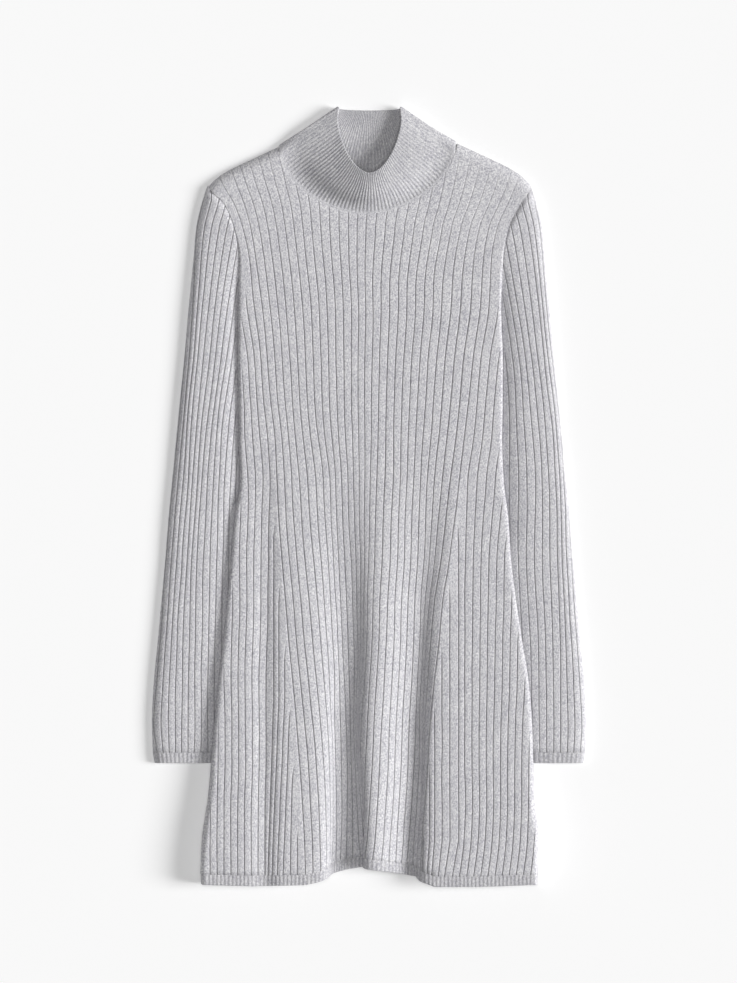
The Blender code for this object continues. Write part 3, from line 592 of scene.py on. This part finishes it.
welt = {
    "pitch": 4.4, "leftPitch": 4.6, "rightPitch": 5.1, "wall": 1.9, "relief": 0.65, "underRelief": 0.5,
    "rows": np.array([0, 0.06, 0.2, 0.4, 0.6, 0.8, 0.92, 1]), "edge": 0.4,
    "foldShare": (0.9, 1), "foldDepth": 0.8,
    "cuffEdges": [0.006, 0.015, 0.985, 0.994], "cuffFade": (0.3, 2.5),
}
weltShares = np.array([0, 0.2, 0.5, 0.8])


def fineGroove(share):
    return 0.5 + 0.5 * np.cos(2 * np.pi * share)


def makeFrontHemWelt():
    hem = np.array([dress["hem"]])
    left, right = sideWidth(-1, hem)[0], sideWidth(1, hem)[0]
    middle = 2 * princess * dress["pitch"]
    total = left + middle + right
    count = round(total / welt["pitch"])
    distance = ((np.arange(count)[:, None] + weltShares) / count * total).ravel()
    distance = np.unique(np.concatenate([distance, [welt["edge"], total - welt["edge"], total]]))
    share = distance / total * count % 1
    side = np.where(distance < left + middle / 2, -1.0, 1.0)
    reach = np.maximum(np.where(side < 0, left - distance, distance - left - middle), 0)
    ribs = placeAcross((distance - left) / dress["pitch"] - princess, side, reach)
    down = welt["rows"][None]
    hemY = np.interp(ribs, frontHem["rib"], frontHem["y"])[:, None]
    y = hemY + (dress["welt"] - seamGap) * (1 - down)
    groove = fineGroove(share)[:, None] * np.ones_like(down)
    folded = ease(*welt["foldShare"], down) * welt["foldDepth"]
    thickness = welt["wall"] + welt["relief"] * (1 - groove) - folded
    shape = np.zeros_like(y)
    ribs, side, reach = (values[:, None] + shape for values in (ribs, side, reach))
    x, z = frontSurface(ribs, side, reach, dress["hem"] + shape, thickness)
    return clothPiece("frontHemWelt", (x, y, z), groove, (distance[:, None] + shape, y), welt["wall"])


def makeBackHemWelt():
    left, right = level("left", dress["hem"]), level("right", dress["hem"])
    count = round((right - left) / welt["pitch"])
    distance = np.append((np.arange(count)[:, None] + weltShares[[0, 2]]).ravel(), count) / count
    x = mix(left, right, distance)
    down = welt["rows"][None]
    y = np.interp(x, backHem["x"], backHem["y"])[:, None] + (dress["welt"] - seamGap) * (1 - down)
    groove = fineGroove(distance * count % 1)[:, None] * np.ones_like(down)
    x = x[:, None] + np.zeros_like(y)
    z = welt["underRelief"] * groove
    return clothPiece("backHemWelt", (x, y, z), groove, (x, y), -knit["thinWall"])


# the outer edge's distance from the middle of the dress, and how far the inner edge lies under
# the body's edge
sleeveEdges = columns(
    "y outer tuck",
    [
        (355.5, 181, 60),
        (329.75, 189.5, 45),
        (304, 195.2, 30),
        (272, 198, 10),
        (213, 203.8, -1.2),
        (154, 209, -1.2),
        (109, 213.6, -1.2),
        (64, 218, -1.2),
        (18.5, 222.4, -1.2),
        (-26.5, 226.8, -0.5),
        (-72, 230.3, 4.6),
        (-117, 234.4, 4.6),
        (-162, 238.6, 4.6),
        (-207.5, 243, 4.6),
        (-252.5, 245.2, 4.6),
        (-289, 244.2, 4),
        (-301, 242, 3),
    ],
)
# distance of every third rib line from the middle of the dress, from the outer edge in
sleeveLines = columns(
    "y leftA leftD leftG leftJ leftM rightA rightD rightG rightJ rightM",
    [
        (335, 196.5, 169, 142.5, 118.5, 95, 194.5, 171, 141, 114, 90.5),
        (301, 202.5, 178.5, 152.5, 129, 105, 200, 180, 151.5, 125.5, 100),
        (222, 204.5, 187.5, 166, 143.5, 120, 204.5, 190.5, 166, 144.5, 121),
        (154, 208.5, 194, 174, 155, 133.5, 211.5, 197.5, 176.5, 154.5, 131),
        (86.5, 214.5, 200.5, 182.5, 165, 143.5, 220.5, 205.5, 183, 158, 134.5),
        (18.5, 221.5, 204.5, 189, 169.5, 150, 225, 210.5, 187.5, 158.5, 134.5),
        (-72, 229.5, 211.5, 194.5, 172, 151.5, 228.5, 212.5, 186.5, 159, 134),
        (-162, 236, 217, 196.5, 174, 150.5, 234.5, 215.5, 190.5, 164, 138.5),
        (-252.5, 243, 219, 197, 174.5, 150.5, 240, 216, 192, 167, 143.5),
        (-288.5, 240, 219, 197.5, 174, 150.5, 238.5, 216, 192.5, 168.5, 144.5),
    ],
)
sleeve = {
    "top": 11, "edge": 2.2, "outerPower": 5, "innerPower": 2.2, "capTop": 351, "underarm": 213,
    "end": -289, "cuffEnd": -301, "lines": 13, "tabled": 3, "pitch": 7.4, "gap": 0.2,
    "capShares": (1, 0.04, 14), "rows": 56, "turnDepth": 0.2, "strayFade": (240, 150),
    "edgeFade": (0.3, 2), "underLines": 14, "underShares": (0, 0.14, 0.5, 0.86), "underRelief": 0.6,
    "underRound": 1.6, "underGroove": 1.2, "underFade": (1, 4),
}
straySleeve = {
    "left": wobbles(seed=11, count=20, size=0.35),
    "right": wobbles(seed=12, count=20, size=0.35),
}
sleeveShares = np.array([0, 0.045, 0.09, 0.16, 0.5, 0.84, 0.91, 0.955])


sideNames = {-1: "left", 1: "right"}


def sleeveColumn(name, y):
    return curve(-sleeveEdges["y"], sleeveEdges[name], -np.asarray(y, float))


def sleeveWidth(side, y):
    edge = np.abs(level(sideNames[side], y))
    return sleeveColumn("outer", y) - edge + sleeveColumn("tuck", y)


def sleeveTop(side, inward, y, depth):
    half = sleeveWidth(side, y) / 2
    across = np.clip(inward / half - 1, -1, 1)
    power = np.where(across > 0, sleeve["innerPower"], sleeve["outerPower"])
    rise = sleeve["top"] - sleeve["edge"]
    fullness = np.sqrt(np.maximum(1 - np.abs(across) ** power, 1e-6))
    steep = np.sign(across) * np.abs(across) ** (power - 1)
    slope = -power / 2 * rise * steep / fullness / half
    length = np.hypot(slope, 1)
    x = side * (sleeveColumn("outer", y) - inward - slope / length * depth)
    return x, sleeve["edge"] + rise * fullness - depth / length


def sleeveUnder(side, inward, y, depth):
    width, edge = sleeveWidth(side, y), sleeve["edge"]
    near = np.clip(np.minimum(inward, width - inward) / (sleeve["underRound"] * edge), 0, 1)
    z = edge * (1 - np.sqrt(1 - (1 - near) ** 2)) + depth * near
    return side * (sleeveColumn("outer", y) - inward), z


def sleeveLine(side, index, y):
    # how far in from the outer edge a numbered rib line lies
    name, keys = sideNames[side], -sleeveLines["y"]
    values = np.array([curve(keys, sleeveLines[name + line], -y, tight=False) for line in "ADGJM"])
    low = np.clip(np.floor(index / sleeve["tabled"]).astype(int), 0, len(values) - 2)
    share = index / sleeve["tabled"] - low
    pick = lambda k: np.take_along_axis(values, k[None], 0)[0]
    x = pick(low) * (1 - share) + pick(low + 1) * share
    line = np.floor(index).astype(int)
    near, far = straySleeve[name](line + 1, y), straySleeve[name](line + 2, y)
    stray = mix(near, far, index - line)
    return sleeveColumn("outer", y) - x + stray * ease(*sleeve["strayFade"], y)


def makeSleeve(name, side):
    # round the tube: over the top to the inner edge, then back under it to the outer edge
    lines = sleeve["lines"]
    index = (np.arange(-1, lines)[:, None] + sleeveShares).ravel()
    under = np.arange(sleeve["underLines"])[:, None] + np.array(sleeve["underShares"])
    under = (under.ravel() + 0.5)[::-1]
    out, back = edgeInsets[::-1], edgeInsets
    stretches = [out, index, back, out, under, back]
    place = np.concatenate(stretches)[:, None]
    stretch = np.repeat(np.arange(6), [len(part) for part in stretches])[:, None]
    onEdge, onTop, onInner = np.isin(stretch, (0, 5)), stretch == 1, np.isin(stretch, (2, 3))
    below = stretch > 2
    capShares = np.linspace(*sleeve["capShares"])
    rows = np.linspace(sleeve["underarm"], sleeve["end"], sleeve["rows"])

    def inwardAt(y):
        width = sleeveWidth(side, y)
        over = np.clip(sleeveLine(side, place + 0 * y, y), edgeRoom, width - edgeRoom)
        beneath = np.clip(place * sleeve["pitch"], edgeRoom, width - edgeRoom)
        inward = np.where(onTop, over, beneath)
        return np.where(onEdge, place, np.where(onInner, width - place, inward))

    def outside(y):
        inward = inwardAt(y[:, None])[:, 0]
        return sleeveColumn("outer", y) - inward > np.abs(level(sideNames[side], y)) + sleeve["gap"]

    start = np.full(len(place), sleeve["underarm"])
    top = meeting(outside, start, np.full(len(place), sleeve["capTop"]))
    cap = mix(sleeve["underarm"], top[:, None], capShares[None])
    y = np.concatenate([cap, np.broadcast_to(rows, (len(place), len(rows)))], axis=1)
    inward = inwardAt(y)
    width = sleeveWidth(side, y)
    groove = np.zeros_like(y)
    for k in range(lines):
        away = inward - sleeveLine(side, np.full_like(y, k), y)
        groove = np.maximum(groove, np.exp(-((away / knit["grooveWidth"]) ** 2)))
    groove = groove * ease(*sleeve["edgeFade"], width - inward)
    away = (inward / sleeve["pitch"] % 1 - 0.5) * sleeve["pitch"] / sleeve["underGroove"]
    fromEdge = ease(*sleeve["underFade"], np.minimum(inward, width - inward))
    groove = np.where(below, np.exp(-(away**2)) * fromEdge, groove)
    turned = ease(knit["turnIn"], 0, top[:, None] - y) * sleeve["turnDepth"]
    over = sleeveTop(side, inward, y, knit["relief"] * groove + turned)
    under = sleeveUnder(side, inward, y, sleeve["underRelief"] * groove)
    x, z = np.where(below, under, over)
    along = np.where(onTop, place * dress["pitch"], np.where(below, 2 * width - inward, inward))
    return clothPiece(name, (x, y, z), groove, (along, y), knit["wall"], tube=True)


def makeCuff(name, side):
    top, end = sleeve["end"] - seamGap, sleeve["cuffEnd"]
    y = mix(top, end, welt["rows"])
    width = sleeveWidth(side, y)
    count = round(float(width.mean()) / welt[sideNames[side] + "Pitch"])
    distance = np.append((np.arange(count)[:, None] + weltShares).ravel(), count) / count
    distance = np.unique(np.concatenate([distance, welt["cuffEdges"]]))
    share = np.concatenate([distance, distance[::-1]])[:, None]
    below = (np.arange(2 * len(distance)) >= len(distance))[:, None]
    inward = share * width[None]
    y = np.broadcast_to(y, inward.shape)
    groove = fineGroove(share * count % 1) * np.ones_like(inward)
    groove = groove * ease(*welt["cuffFade"], np.minimum(inward, width - inward))
    folded = ease(*welt["foldShare"], welt["rows"][None]) * welt["foldDepth"]
    over = sleeveTop(side, inward, y, welt["relief"] * groove + folded)
    under = sleeveUnder(side, inward, y, welt["underRelief"] * groove)
    x, z = np.where(below, under, over)
    along = np.where(below, 2 * width - inward, inward)
    return clothPiece(name, (x, y, z), groove, (along, y), knit["thinWall"], tube=True)


# The collar's shape is given by step from the neck seam to its free edge, the rim: how far its
# sides and its front have come, and how far the front has risen.
collar = {
    "wall": 2.6, "frontRibs": 63, "backRibs": 50, "relief": 1, "lap": 1.6, "lift": 0.3,
    "step": (0, 1, 2, 3, 4, 5, 6),
    "side": (0, 0.07, 0.24, 0.44, 0.65, 0.84, 1),
    "front": (0, 0.1, 0.29, 0.46, 0.62, 0.81, 1),
    "rise": (0, 0.05, 0.38, 0.74, 0.93, 0.99, 1), "bulge": 1.2,
    "rimX": 0.5, "rimY": 438.6, "rimHalfWidth": 36.6, "rimFrontY": 365, "rimBackY": 436,
    "frontZ": 8.5, "rimFrontZ": 26, "sideZ": 5, "rimSideZ": 9,
    "flatFrom": 0.6, "foldPower": 60, "leaveOver": 3,
    "ribShares": np.array([0, 0.17, 0.5, 0.83]), "ribsFrom": (0.5, 0.9), "slack": 0.3,
    "tautFade": (0.12, 0.62), "insideRelief": 0.55, "plainDrop": 0.35, "seamDrop": 0.3,
    "seamFade": 0.25, "stepHeight": 11,
}
# rows of the collar's mesh, as steps: up the outside, over the rim and down the inside
collarRows = {
    "outside": np.concatenate([[0, 0.12, 0.3, 0.6, 0.8], np.linspace(1, 5.7, 22), [5.85, 5.94]]),
    "rim": [5.98, 6, 6, 5.98],
    "rimOut": [0.86, 0.62, 0.38, 0.14],
    "inside": np.concatenate([[5.94, 5.8], np.linspace(5.5, 0.2, 14), [0]]),
}


def collarInside(turn, step):
    # turn runs over the front from 0 to pi, then over the back; step from the seam to the rim
    sideShare, frontShare, rise = (
        curve(collar["step"], collar[name], step) for name in ("side", "front", "rise")
    )
    c, s = np.cos(turn), np.sin(turn)
    power = 2 / neck["power"]
    neckHalf = neck["halfWidth"] + collar["lap"]
    half = mix(neckHalf, collar["rimHalfWidth"], sideShare)
    inset = collar["wall"] * np.abs(c) ** collar["foldPower"]
    middle = mix(neck["x"], collar["rimX"], sideShare)
    x = middle - np.sign(c) * (half * np.abs(c) ** power - inset)
    tilt = neck["tilt"] * (x - neck["x"]) * (1 - sideShare)
    foldY = mix(neck["y"], collar["rimY"], sideShare)
    sideZ = mix(collar["sideZ"], collar["rimSideZ"], sideShare)
    seamY = neck["y"] - neck["depth"] - collar["lap"]
    frontY = mix(seamY, collar["rimFrontY"], frontShare)
    frontZ = mix(collar["frontZ"], collar["rimFrontZ"], rise)
    backSeamY = neck["y"] - neck["backDepth"] + seamGap
    backY = mix(backSeamY, collar["rimBackY"], sideShare)
    inFront = s >= 0
    # the seam lies on the front's cloth, and the band leaves it over its first steps; at the
    # sides it is folded, and the back comes down from the fold to lie flat
    seamX = neck["x"] - np.sign(c) * (neckHalf * np.abs(c) ** power - inset)
    seamPointY = neckLine(seamX) + (seamY - neck["y"]) * np.abs(s) ** power
    clothZ = collar["frontZ"] + collar["lift"]
    seamZ = clothZ - shoulderFall(seamX, seamPointY)
    foldX = neck["x"] - np.sign(c) * (neckHalf - collar["wall"])
    foldSeamZ = clothZ - shoulderFall(foldX, neckLine(foldX))
    leaving = ease(0, collar["leaveOver"], step)
    standing = mix(sideZ, frontZ, np.abs(s) ** collar["bulge"])
    foldZ = mix(foldSeamZ, sideZ, leaving)
    z = np.where(
        inFront,
        mix(seamZ, standing, leaving),
        mix(collar["wall"], foldZ, np.maximum(1 + s / collar["flatFrom"], 0) ** 2),
    )
    y = mix(foldY, np.where(inFront, frontY, backY), np.abs(s) ** power) + tilt
    return np.stack([x, y, z], axis=-1)


def seamLengths(turns):
    # length of the neck seam up to each turn
    paces = np.diff(collarInside(turns, np.zeros_like(turns)), axis=0)
    return np.concatenate([[0], np.cumsum(np.linalg.norm(paces, axis=1))])


def evenTurns(first, last, count, samples=1200):
    # turns that part the neck seam into ribs of equal width
    turns = np.linspace(first, last, samples)
    lengths = seamLengths(turns)
    marks = (np.arange(count)[:, None] + collar["ribShares"]).ravel()
    return np.interp(marks / count * lengths[-1], lengths, turns), marks % 1


def makeCollar():
    frontTurns, frontShare = evenTurns(0, np.pi, collar["frontRibs"])
    backTurns, backShare = evenTurns(np.pi, 2 * np.pi, collar["backRibs"])
    turns = np.concatenate([frontTurns, backTurns, [2 * np.pi]])
    share = np.concatenate([frontShare, backShare, [0]])
    outside, rim, inside = collarRows["outside"], collarRows["rim"], collarRows["inside"]
    steps = np.concatenate([outside, rim, inside, [0]])
    out = np.concatenate([np.ones(len(outside)), collarRows["rimOut"], np.zeros(len(inside)), [1]])
    turn, step = np.meshgrid(turns, steps, indexing="ij")
    near = 0.02
    low, high = np.maximum(step - near, 0), np.minimum(step + near, collar["step"][-1])
    around = collarInside(turn + near, step) - collarInside(turn - near, step)
    rising = collarInside(turn, high) - collarInside(turn, low)
    normal = np.cross(around, rising)
    normal = normal / np.linalg.norm(normal, axis=-1, keepdims=True)
    fine = ease(*collar["ribsFrom"], step)
    # the ribs are stretched smooth where the band folds at its sides
    taut = mix(collar["slack"], 1, ease(*collar["tautFade"], np.abs(np.sin(turns)))[:, None])
    groove = fineGroove(share)[:, None] * fine * taut
    full = collar["wall"] - collar["relief"] * groove - collar["plainDrop"] * (1 - fine)
    full = full - collar["seamDrop"] * ease(collar["seamFade"], 0, step)
    thin = collar["insideRelief"] * (1 - groove)
    thickness = full * out[None] + thin * (1 - out[None])
    points = collarInside(turn, step) + normal * thickness[..., None]
    x, y, z = np.moveaxis(points, -1, 0)
    laidOut = (seamLengths(turns)[:, None] + 0 * step, step * collar["stepHeight"])
    return clothPiece("collarBand", (x, y, np.maximum(z, 0)), groove, laidOut, 0, tube=True)


pieces = {
    "front": makeFront(),
    "back": makeBack(),
    "hem_welt_front": makeFrontHemWelt(),
    "hem_welt_back": makeBackHemWelt(),
    "sleeve_left": makeSleeve("leftSleeve", -1),
    "sleeve_right": makeSleeve("rightSleeve", 1),
    "cuff_left": makeCuff("leftCuff", -1),
    "cuff_right": makeCuff("rightCuff", 1),
    "collar": makeCollar(),
}


def hexColour(text):
    # sRGB hex to the linear colour that a shader takes
    parts = [int(text[i : i + 2], 16) / 255 for i in (1, 3, 5)]
    return tuple(p / 12.92 if p <= 0.04045 else ((p + 0.055) / 1.055) ** 2.4 for p in parts) + (1,)


def addNode(tree, kind, settings=None, links=None):
    # a link comes from a socket, or from a node's first output
    node = tree.nodes.new(kind)
    for name, value in (settings or {}).items():
        if isinstance(name, int) or name in node.inputs:
            node.inputs[name].default_value = value
        else:
            setattr(node, name, value)
    for socket, source in (links or {}).items():
        tree.links.new(getattr(source, "outputs", [source])[0], node.inputs[socket])
    return node


# Heather yarn: light and dark fibres spun together, so every stitch has a grey of its own.
# besides the yarn's greys, these set painted shade at the edges of each strand and in beads along the
# grooves
yarn = {
    "dark": "#8e8d9b", "light": "#fbfafa", "stitchWidth": 1.36, "stitchHeight": 0.95, "slant": 1.1,
    "fleck": 0.7, "patch": 22.0, "roughness": 0.95, "sheen": 0.12, "specular": 0.15,
    "stitchTone": 0.72, "fleckTone": 0.25, "patchTone": 0.2, "strandPaintedShade": 0.3, "darker": 0.15,
    "fleckRange": (0.28, 0.72), "shadeBeads": 0.55, "alongStrand": 0.6, "fleckHeight": 0.4,
    "bump": 0.5, "bumpDepth": 0.3,
}


def heatherKnit(name, look):
    # every stitch is a pair of slanted strands, each with a grey of its own
    material = bpy.data.materials.new(name)
    material.use_nodes = True
    tree = material.node_tree
    tree.nodes.clear()
    maths, noise, span = "ShaderNodeMath", "ShaderNodeTexNoise", "ShaderNodeMapRange"
    times, timesPlus = {"operation": "MULTIPLY"}, {"operation": "MULTIPLY_ADD"}
    upAndDown, whole = {"operation": "PINGPONG", 1: 0.5}, {"operation": "FLOOR"}
    cloth = addNode(tree, "ShaderNodeUVMap", {"uv_map": "cloth"})
    place = addNode(tree, "ShaderNodeTexCoord").outputs["Object"]
    size = (1 / (look["stitchWidth"] * mm), 1 / (look["stitchHeight"] * mm), 1)
    stitches = addNode(tree, "ShaderNodeMapping", {"Scale": size}, {"Vector": cloth})
    axes = addNode(tree, "ShaderNodeSeparateXYZ", {}, {"Vector": stitches})
    across, down = axes.outputs["X"], axes.outputs["Y"]
    zigzag = addNode(tree, maths, upAndDown, {0: across})
    slanted = addNode(tree, maths, {**timesPlus, 1: look["slant"]}, {0: zigzag, 2: down})
    halves = addNode(tree, maths, {**times, 1: 2.0}, {0: across})
    column = addNode(tree, maths, whole, {0: halves})
    row = addNode(tree, maths, whole, {0: slanted})
    strand = addNode(tree, "ShaderNodeCombineXYZ", {}, {"X": column, "Y": row})
    each = addNode(tree, "ShaderNodeTexWhiteNoise", {"noise_dimensions": "2D"}, {"Vector": strand})
    # round over each strand, across it and along it: this gives its bump, and painted shade at its edges
    overStrand = addNode(tree, maths, upAndDown, {0: slanted})
    alongStrand = addNode(tree, maths, upAndDown, {0: halves})
    form = addNode(tree, maths, {**timesPlus, 1: look["alongStrand"]}, {0: alongStrand, 2: overStrand})
    fleckSize = {"Scale": 1 / (look["fleck"] * mm), "Detail": 2.0, "Roughness": 0.6}
    flecks = addNode(tree, noise, fleckSize, {"Vector": place})
    low, high = look["fleckRange"]
    fleck = addNode(tree, span, {"From Min": low, "From Max": high}, {"Value": flecks})
    patchSize = {"Scale": 1 / (look["patch"] * mm), "Detail": 2.0}
    patches = addNode(tree, noise, patchSize, {"Vector": place})
    # the grey of each point: its strand's, its fibres' and its patch's, with painted shade where each
    # strand rounds down at its edges
    tone = addNode(tree, maths, {**times, 1: look["fleckTone"]}, {0: fleck})
    for share, source in (("stitchTone", each), ("strandPaintedShade", form), ("patchTone", patches)):
        tone = addNode(tree, maths, {**timesPlus, 1: look[share]}, {0: source, 2: tone})
    tone = addNode(tree, maths, {"operation": "SUBTRACT", 1: look["darker"]}, {0: tone})
    greys = {"data_type": "RGBA", 6: hexColour(look["dark"]), 7: hexColour(look["light"])}
    mottled = addNode(tree, "ShaderNodeMix", greys, {0: tone})
    # painted shade in a groove, darkest at its bottom and broken into beads stitch by stitch
    groove = addNode(tree, "ShaderNodeAttribute", {"attribute_name": "groove"})
    beadedShadeRange = {**timesPlus, 1: look["shadeBeads"], 2: 1 - look["shadeBeads"] / 2}
    beadedShade = addNode(tree, maths, beadedShadeRange, {0: each})
    depth = addNode(tree, maths, times, {0: groove.outputs["Fac"], 1: beadedShade})
    shade = addNode(tree, span, {"To Min": 1.0, "To Max": look["paintedGrooveShade"]}, {"Value": depth})
    paintedShadeMix = {"data_type": "RGBA", "blend_type": "MULTIPLY", 0: 1.0}
    colour = addNode(tree, "ShaderNodeMix", paintedShadeMix, {6: mottled.outputs[2], 7: shade})
    height = addNode(tree, maths, {**timesPlus, 1: look["fleckHeight"]}, {0: fleck, 2: form})
    relief = {"Strength": look["bump"], "Distance": look["bumpDepth"] * mm}
    bump = addNode(tree, "ShaderNodeBump", relief, {"Height": height})
    finish = {
        "Roughness": look["roughness"], "Sheen Weight": look["sheen"],
        "Specular IOR Level": look["specular"],
    }
    links = {"Base Color": colour.outputs[2], "Normal": bump}
    shader = addNode(tree, "ShaderNodeBsdfPrincipled", finish, links)
    addNode(tree, "ShaderNodeOutputMaterial", {}, {"Surface": shader})
    return material


# how dark the painted shade in the grooves gets, for the wide ribs and for the fine ones
wideRibKnit = heatherKnit("heatherWideRibKnit", {**yarn, "paintedGrooveShade": 0.45})
fineRibKnit = heatherKnit("heatherFineRibKnit", {**yarn, "paintedGrooveShade": 0.74})
print("stage: materials")

# the collar, hem welts and cuffs get the fine rib knit and the rest get the wide one; each piece hangs
# from the root, and its part in the frame is hidden. The sleeves, cuffs and collar are tubes.
fineNodes = ("collar", "hem_welt_front", "hem_welt_back", "cuff_left", "cuff_right")
for node, piece in pieces.items():
    fine = node in fineNodes
    piece.data.materials.append(fineRibKnit if fine else wideRibKnit)
    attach(piece, "root")
    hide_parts(node)

# straight overhead, from so far off that the picture's height spans 1.11 m of the floor
view = {"centre": (-0.0006, 0.0057), "height": 1.1108, "lens": 250.0, "sensor": 36.0, "clip": (0.1, 100)}
# a large softbox at the right, a second one overhead, and a little light from the room
suns = {
    "keySoftbox": {"strength": 3.2, "elevation": 28.0, "turn": -3.0, "softness": 25.0},
    "topSoftbox": {"strength": 0.92, "elevation": 90.0, "turn": 0.0, "softness": 30.0},
}
room = 0.09
white = hexColour("#ffffff")
paperLook = {"colour": "#f3f3f3", "glow": 0.1732, "halfWidth": 6.0, "below": 0.4}

camera = bpy.data.cameras.new("overhead")
camera.lens, camera.sensor_width = view["lens"], view["sensor"]
camera.clip_start, camera.clip_end = view["clip"]
eye = addObject("overhead", camera)
eye.location = (*view["centre"], view["height"] / 2 / (view["sensor"] / 2 / view["lens"]))
bpy.context.scene.camera = eye

for name, settings in suns.items():
    sun = bpy.data.lights.new(name, "SUN")
    sun.energy = settings["strength"]
    sun.angle = np.radians(settings["softness"])
    lamp = addObject(name, sun)
    lamp.rotation_euler = (0, np.radians(90 - settings["elevation"]), np.radians(settings["turn"]))

world = bpy.data.worlds.new("paleRoom")
bpy.context.scene.world = world
bpy.context.scene.view_settings.view_transform = "Standard"

floorMesh = bpy.data.meshes.new("floor")
plane = bmesh.new()
bmesh.ops.create_grid(plane, x_segments=1, y_segments=1, size=paperLook["halfWidth"])
bmesh.ops.translate(plane, verts=plane.verts, vec=(0, 0, -paperLook["below"] * mm))
plane.to_mesh(floorMesh)
plane.free()
floor = addObject("floor", floorMesh)
# Seamless studio paper: matt and almost white. Its glow stands for the light that the studio's
# walls throw back on it.
paper = bpy.data.materials.new("paleSeamlessPaper")
paperFinish = {
    "Base Color": hexColour(paperLook["colour"]), "Emission Color": white,
    "Emission Strength": paperLook["glow"], "Roughness": 1, "Specular IOR Level": 0,
}
surroundings = (
    (world, "Background", {"Color": white, "Strength": room}),
    (paper, "Principled BSDF", paperFinish),
)
for surrounding, node, finish in surroundings:
    surrounding.use_nodes = True
    for name, value in finish.items():
        surrounding.node_tree.nodes[node].inputs[name].default_value = value
floor.data.materials.append(paper)
print("stage: camera and light")
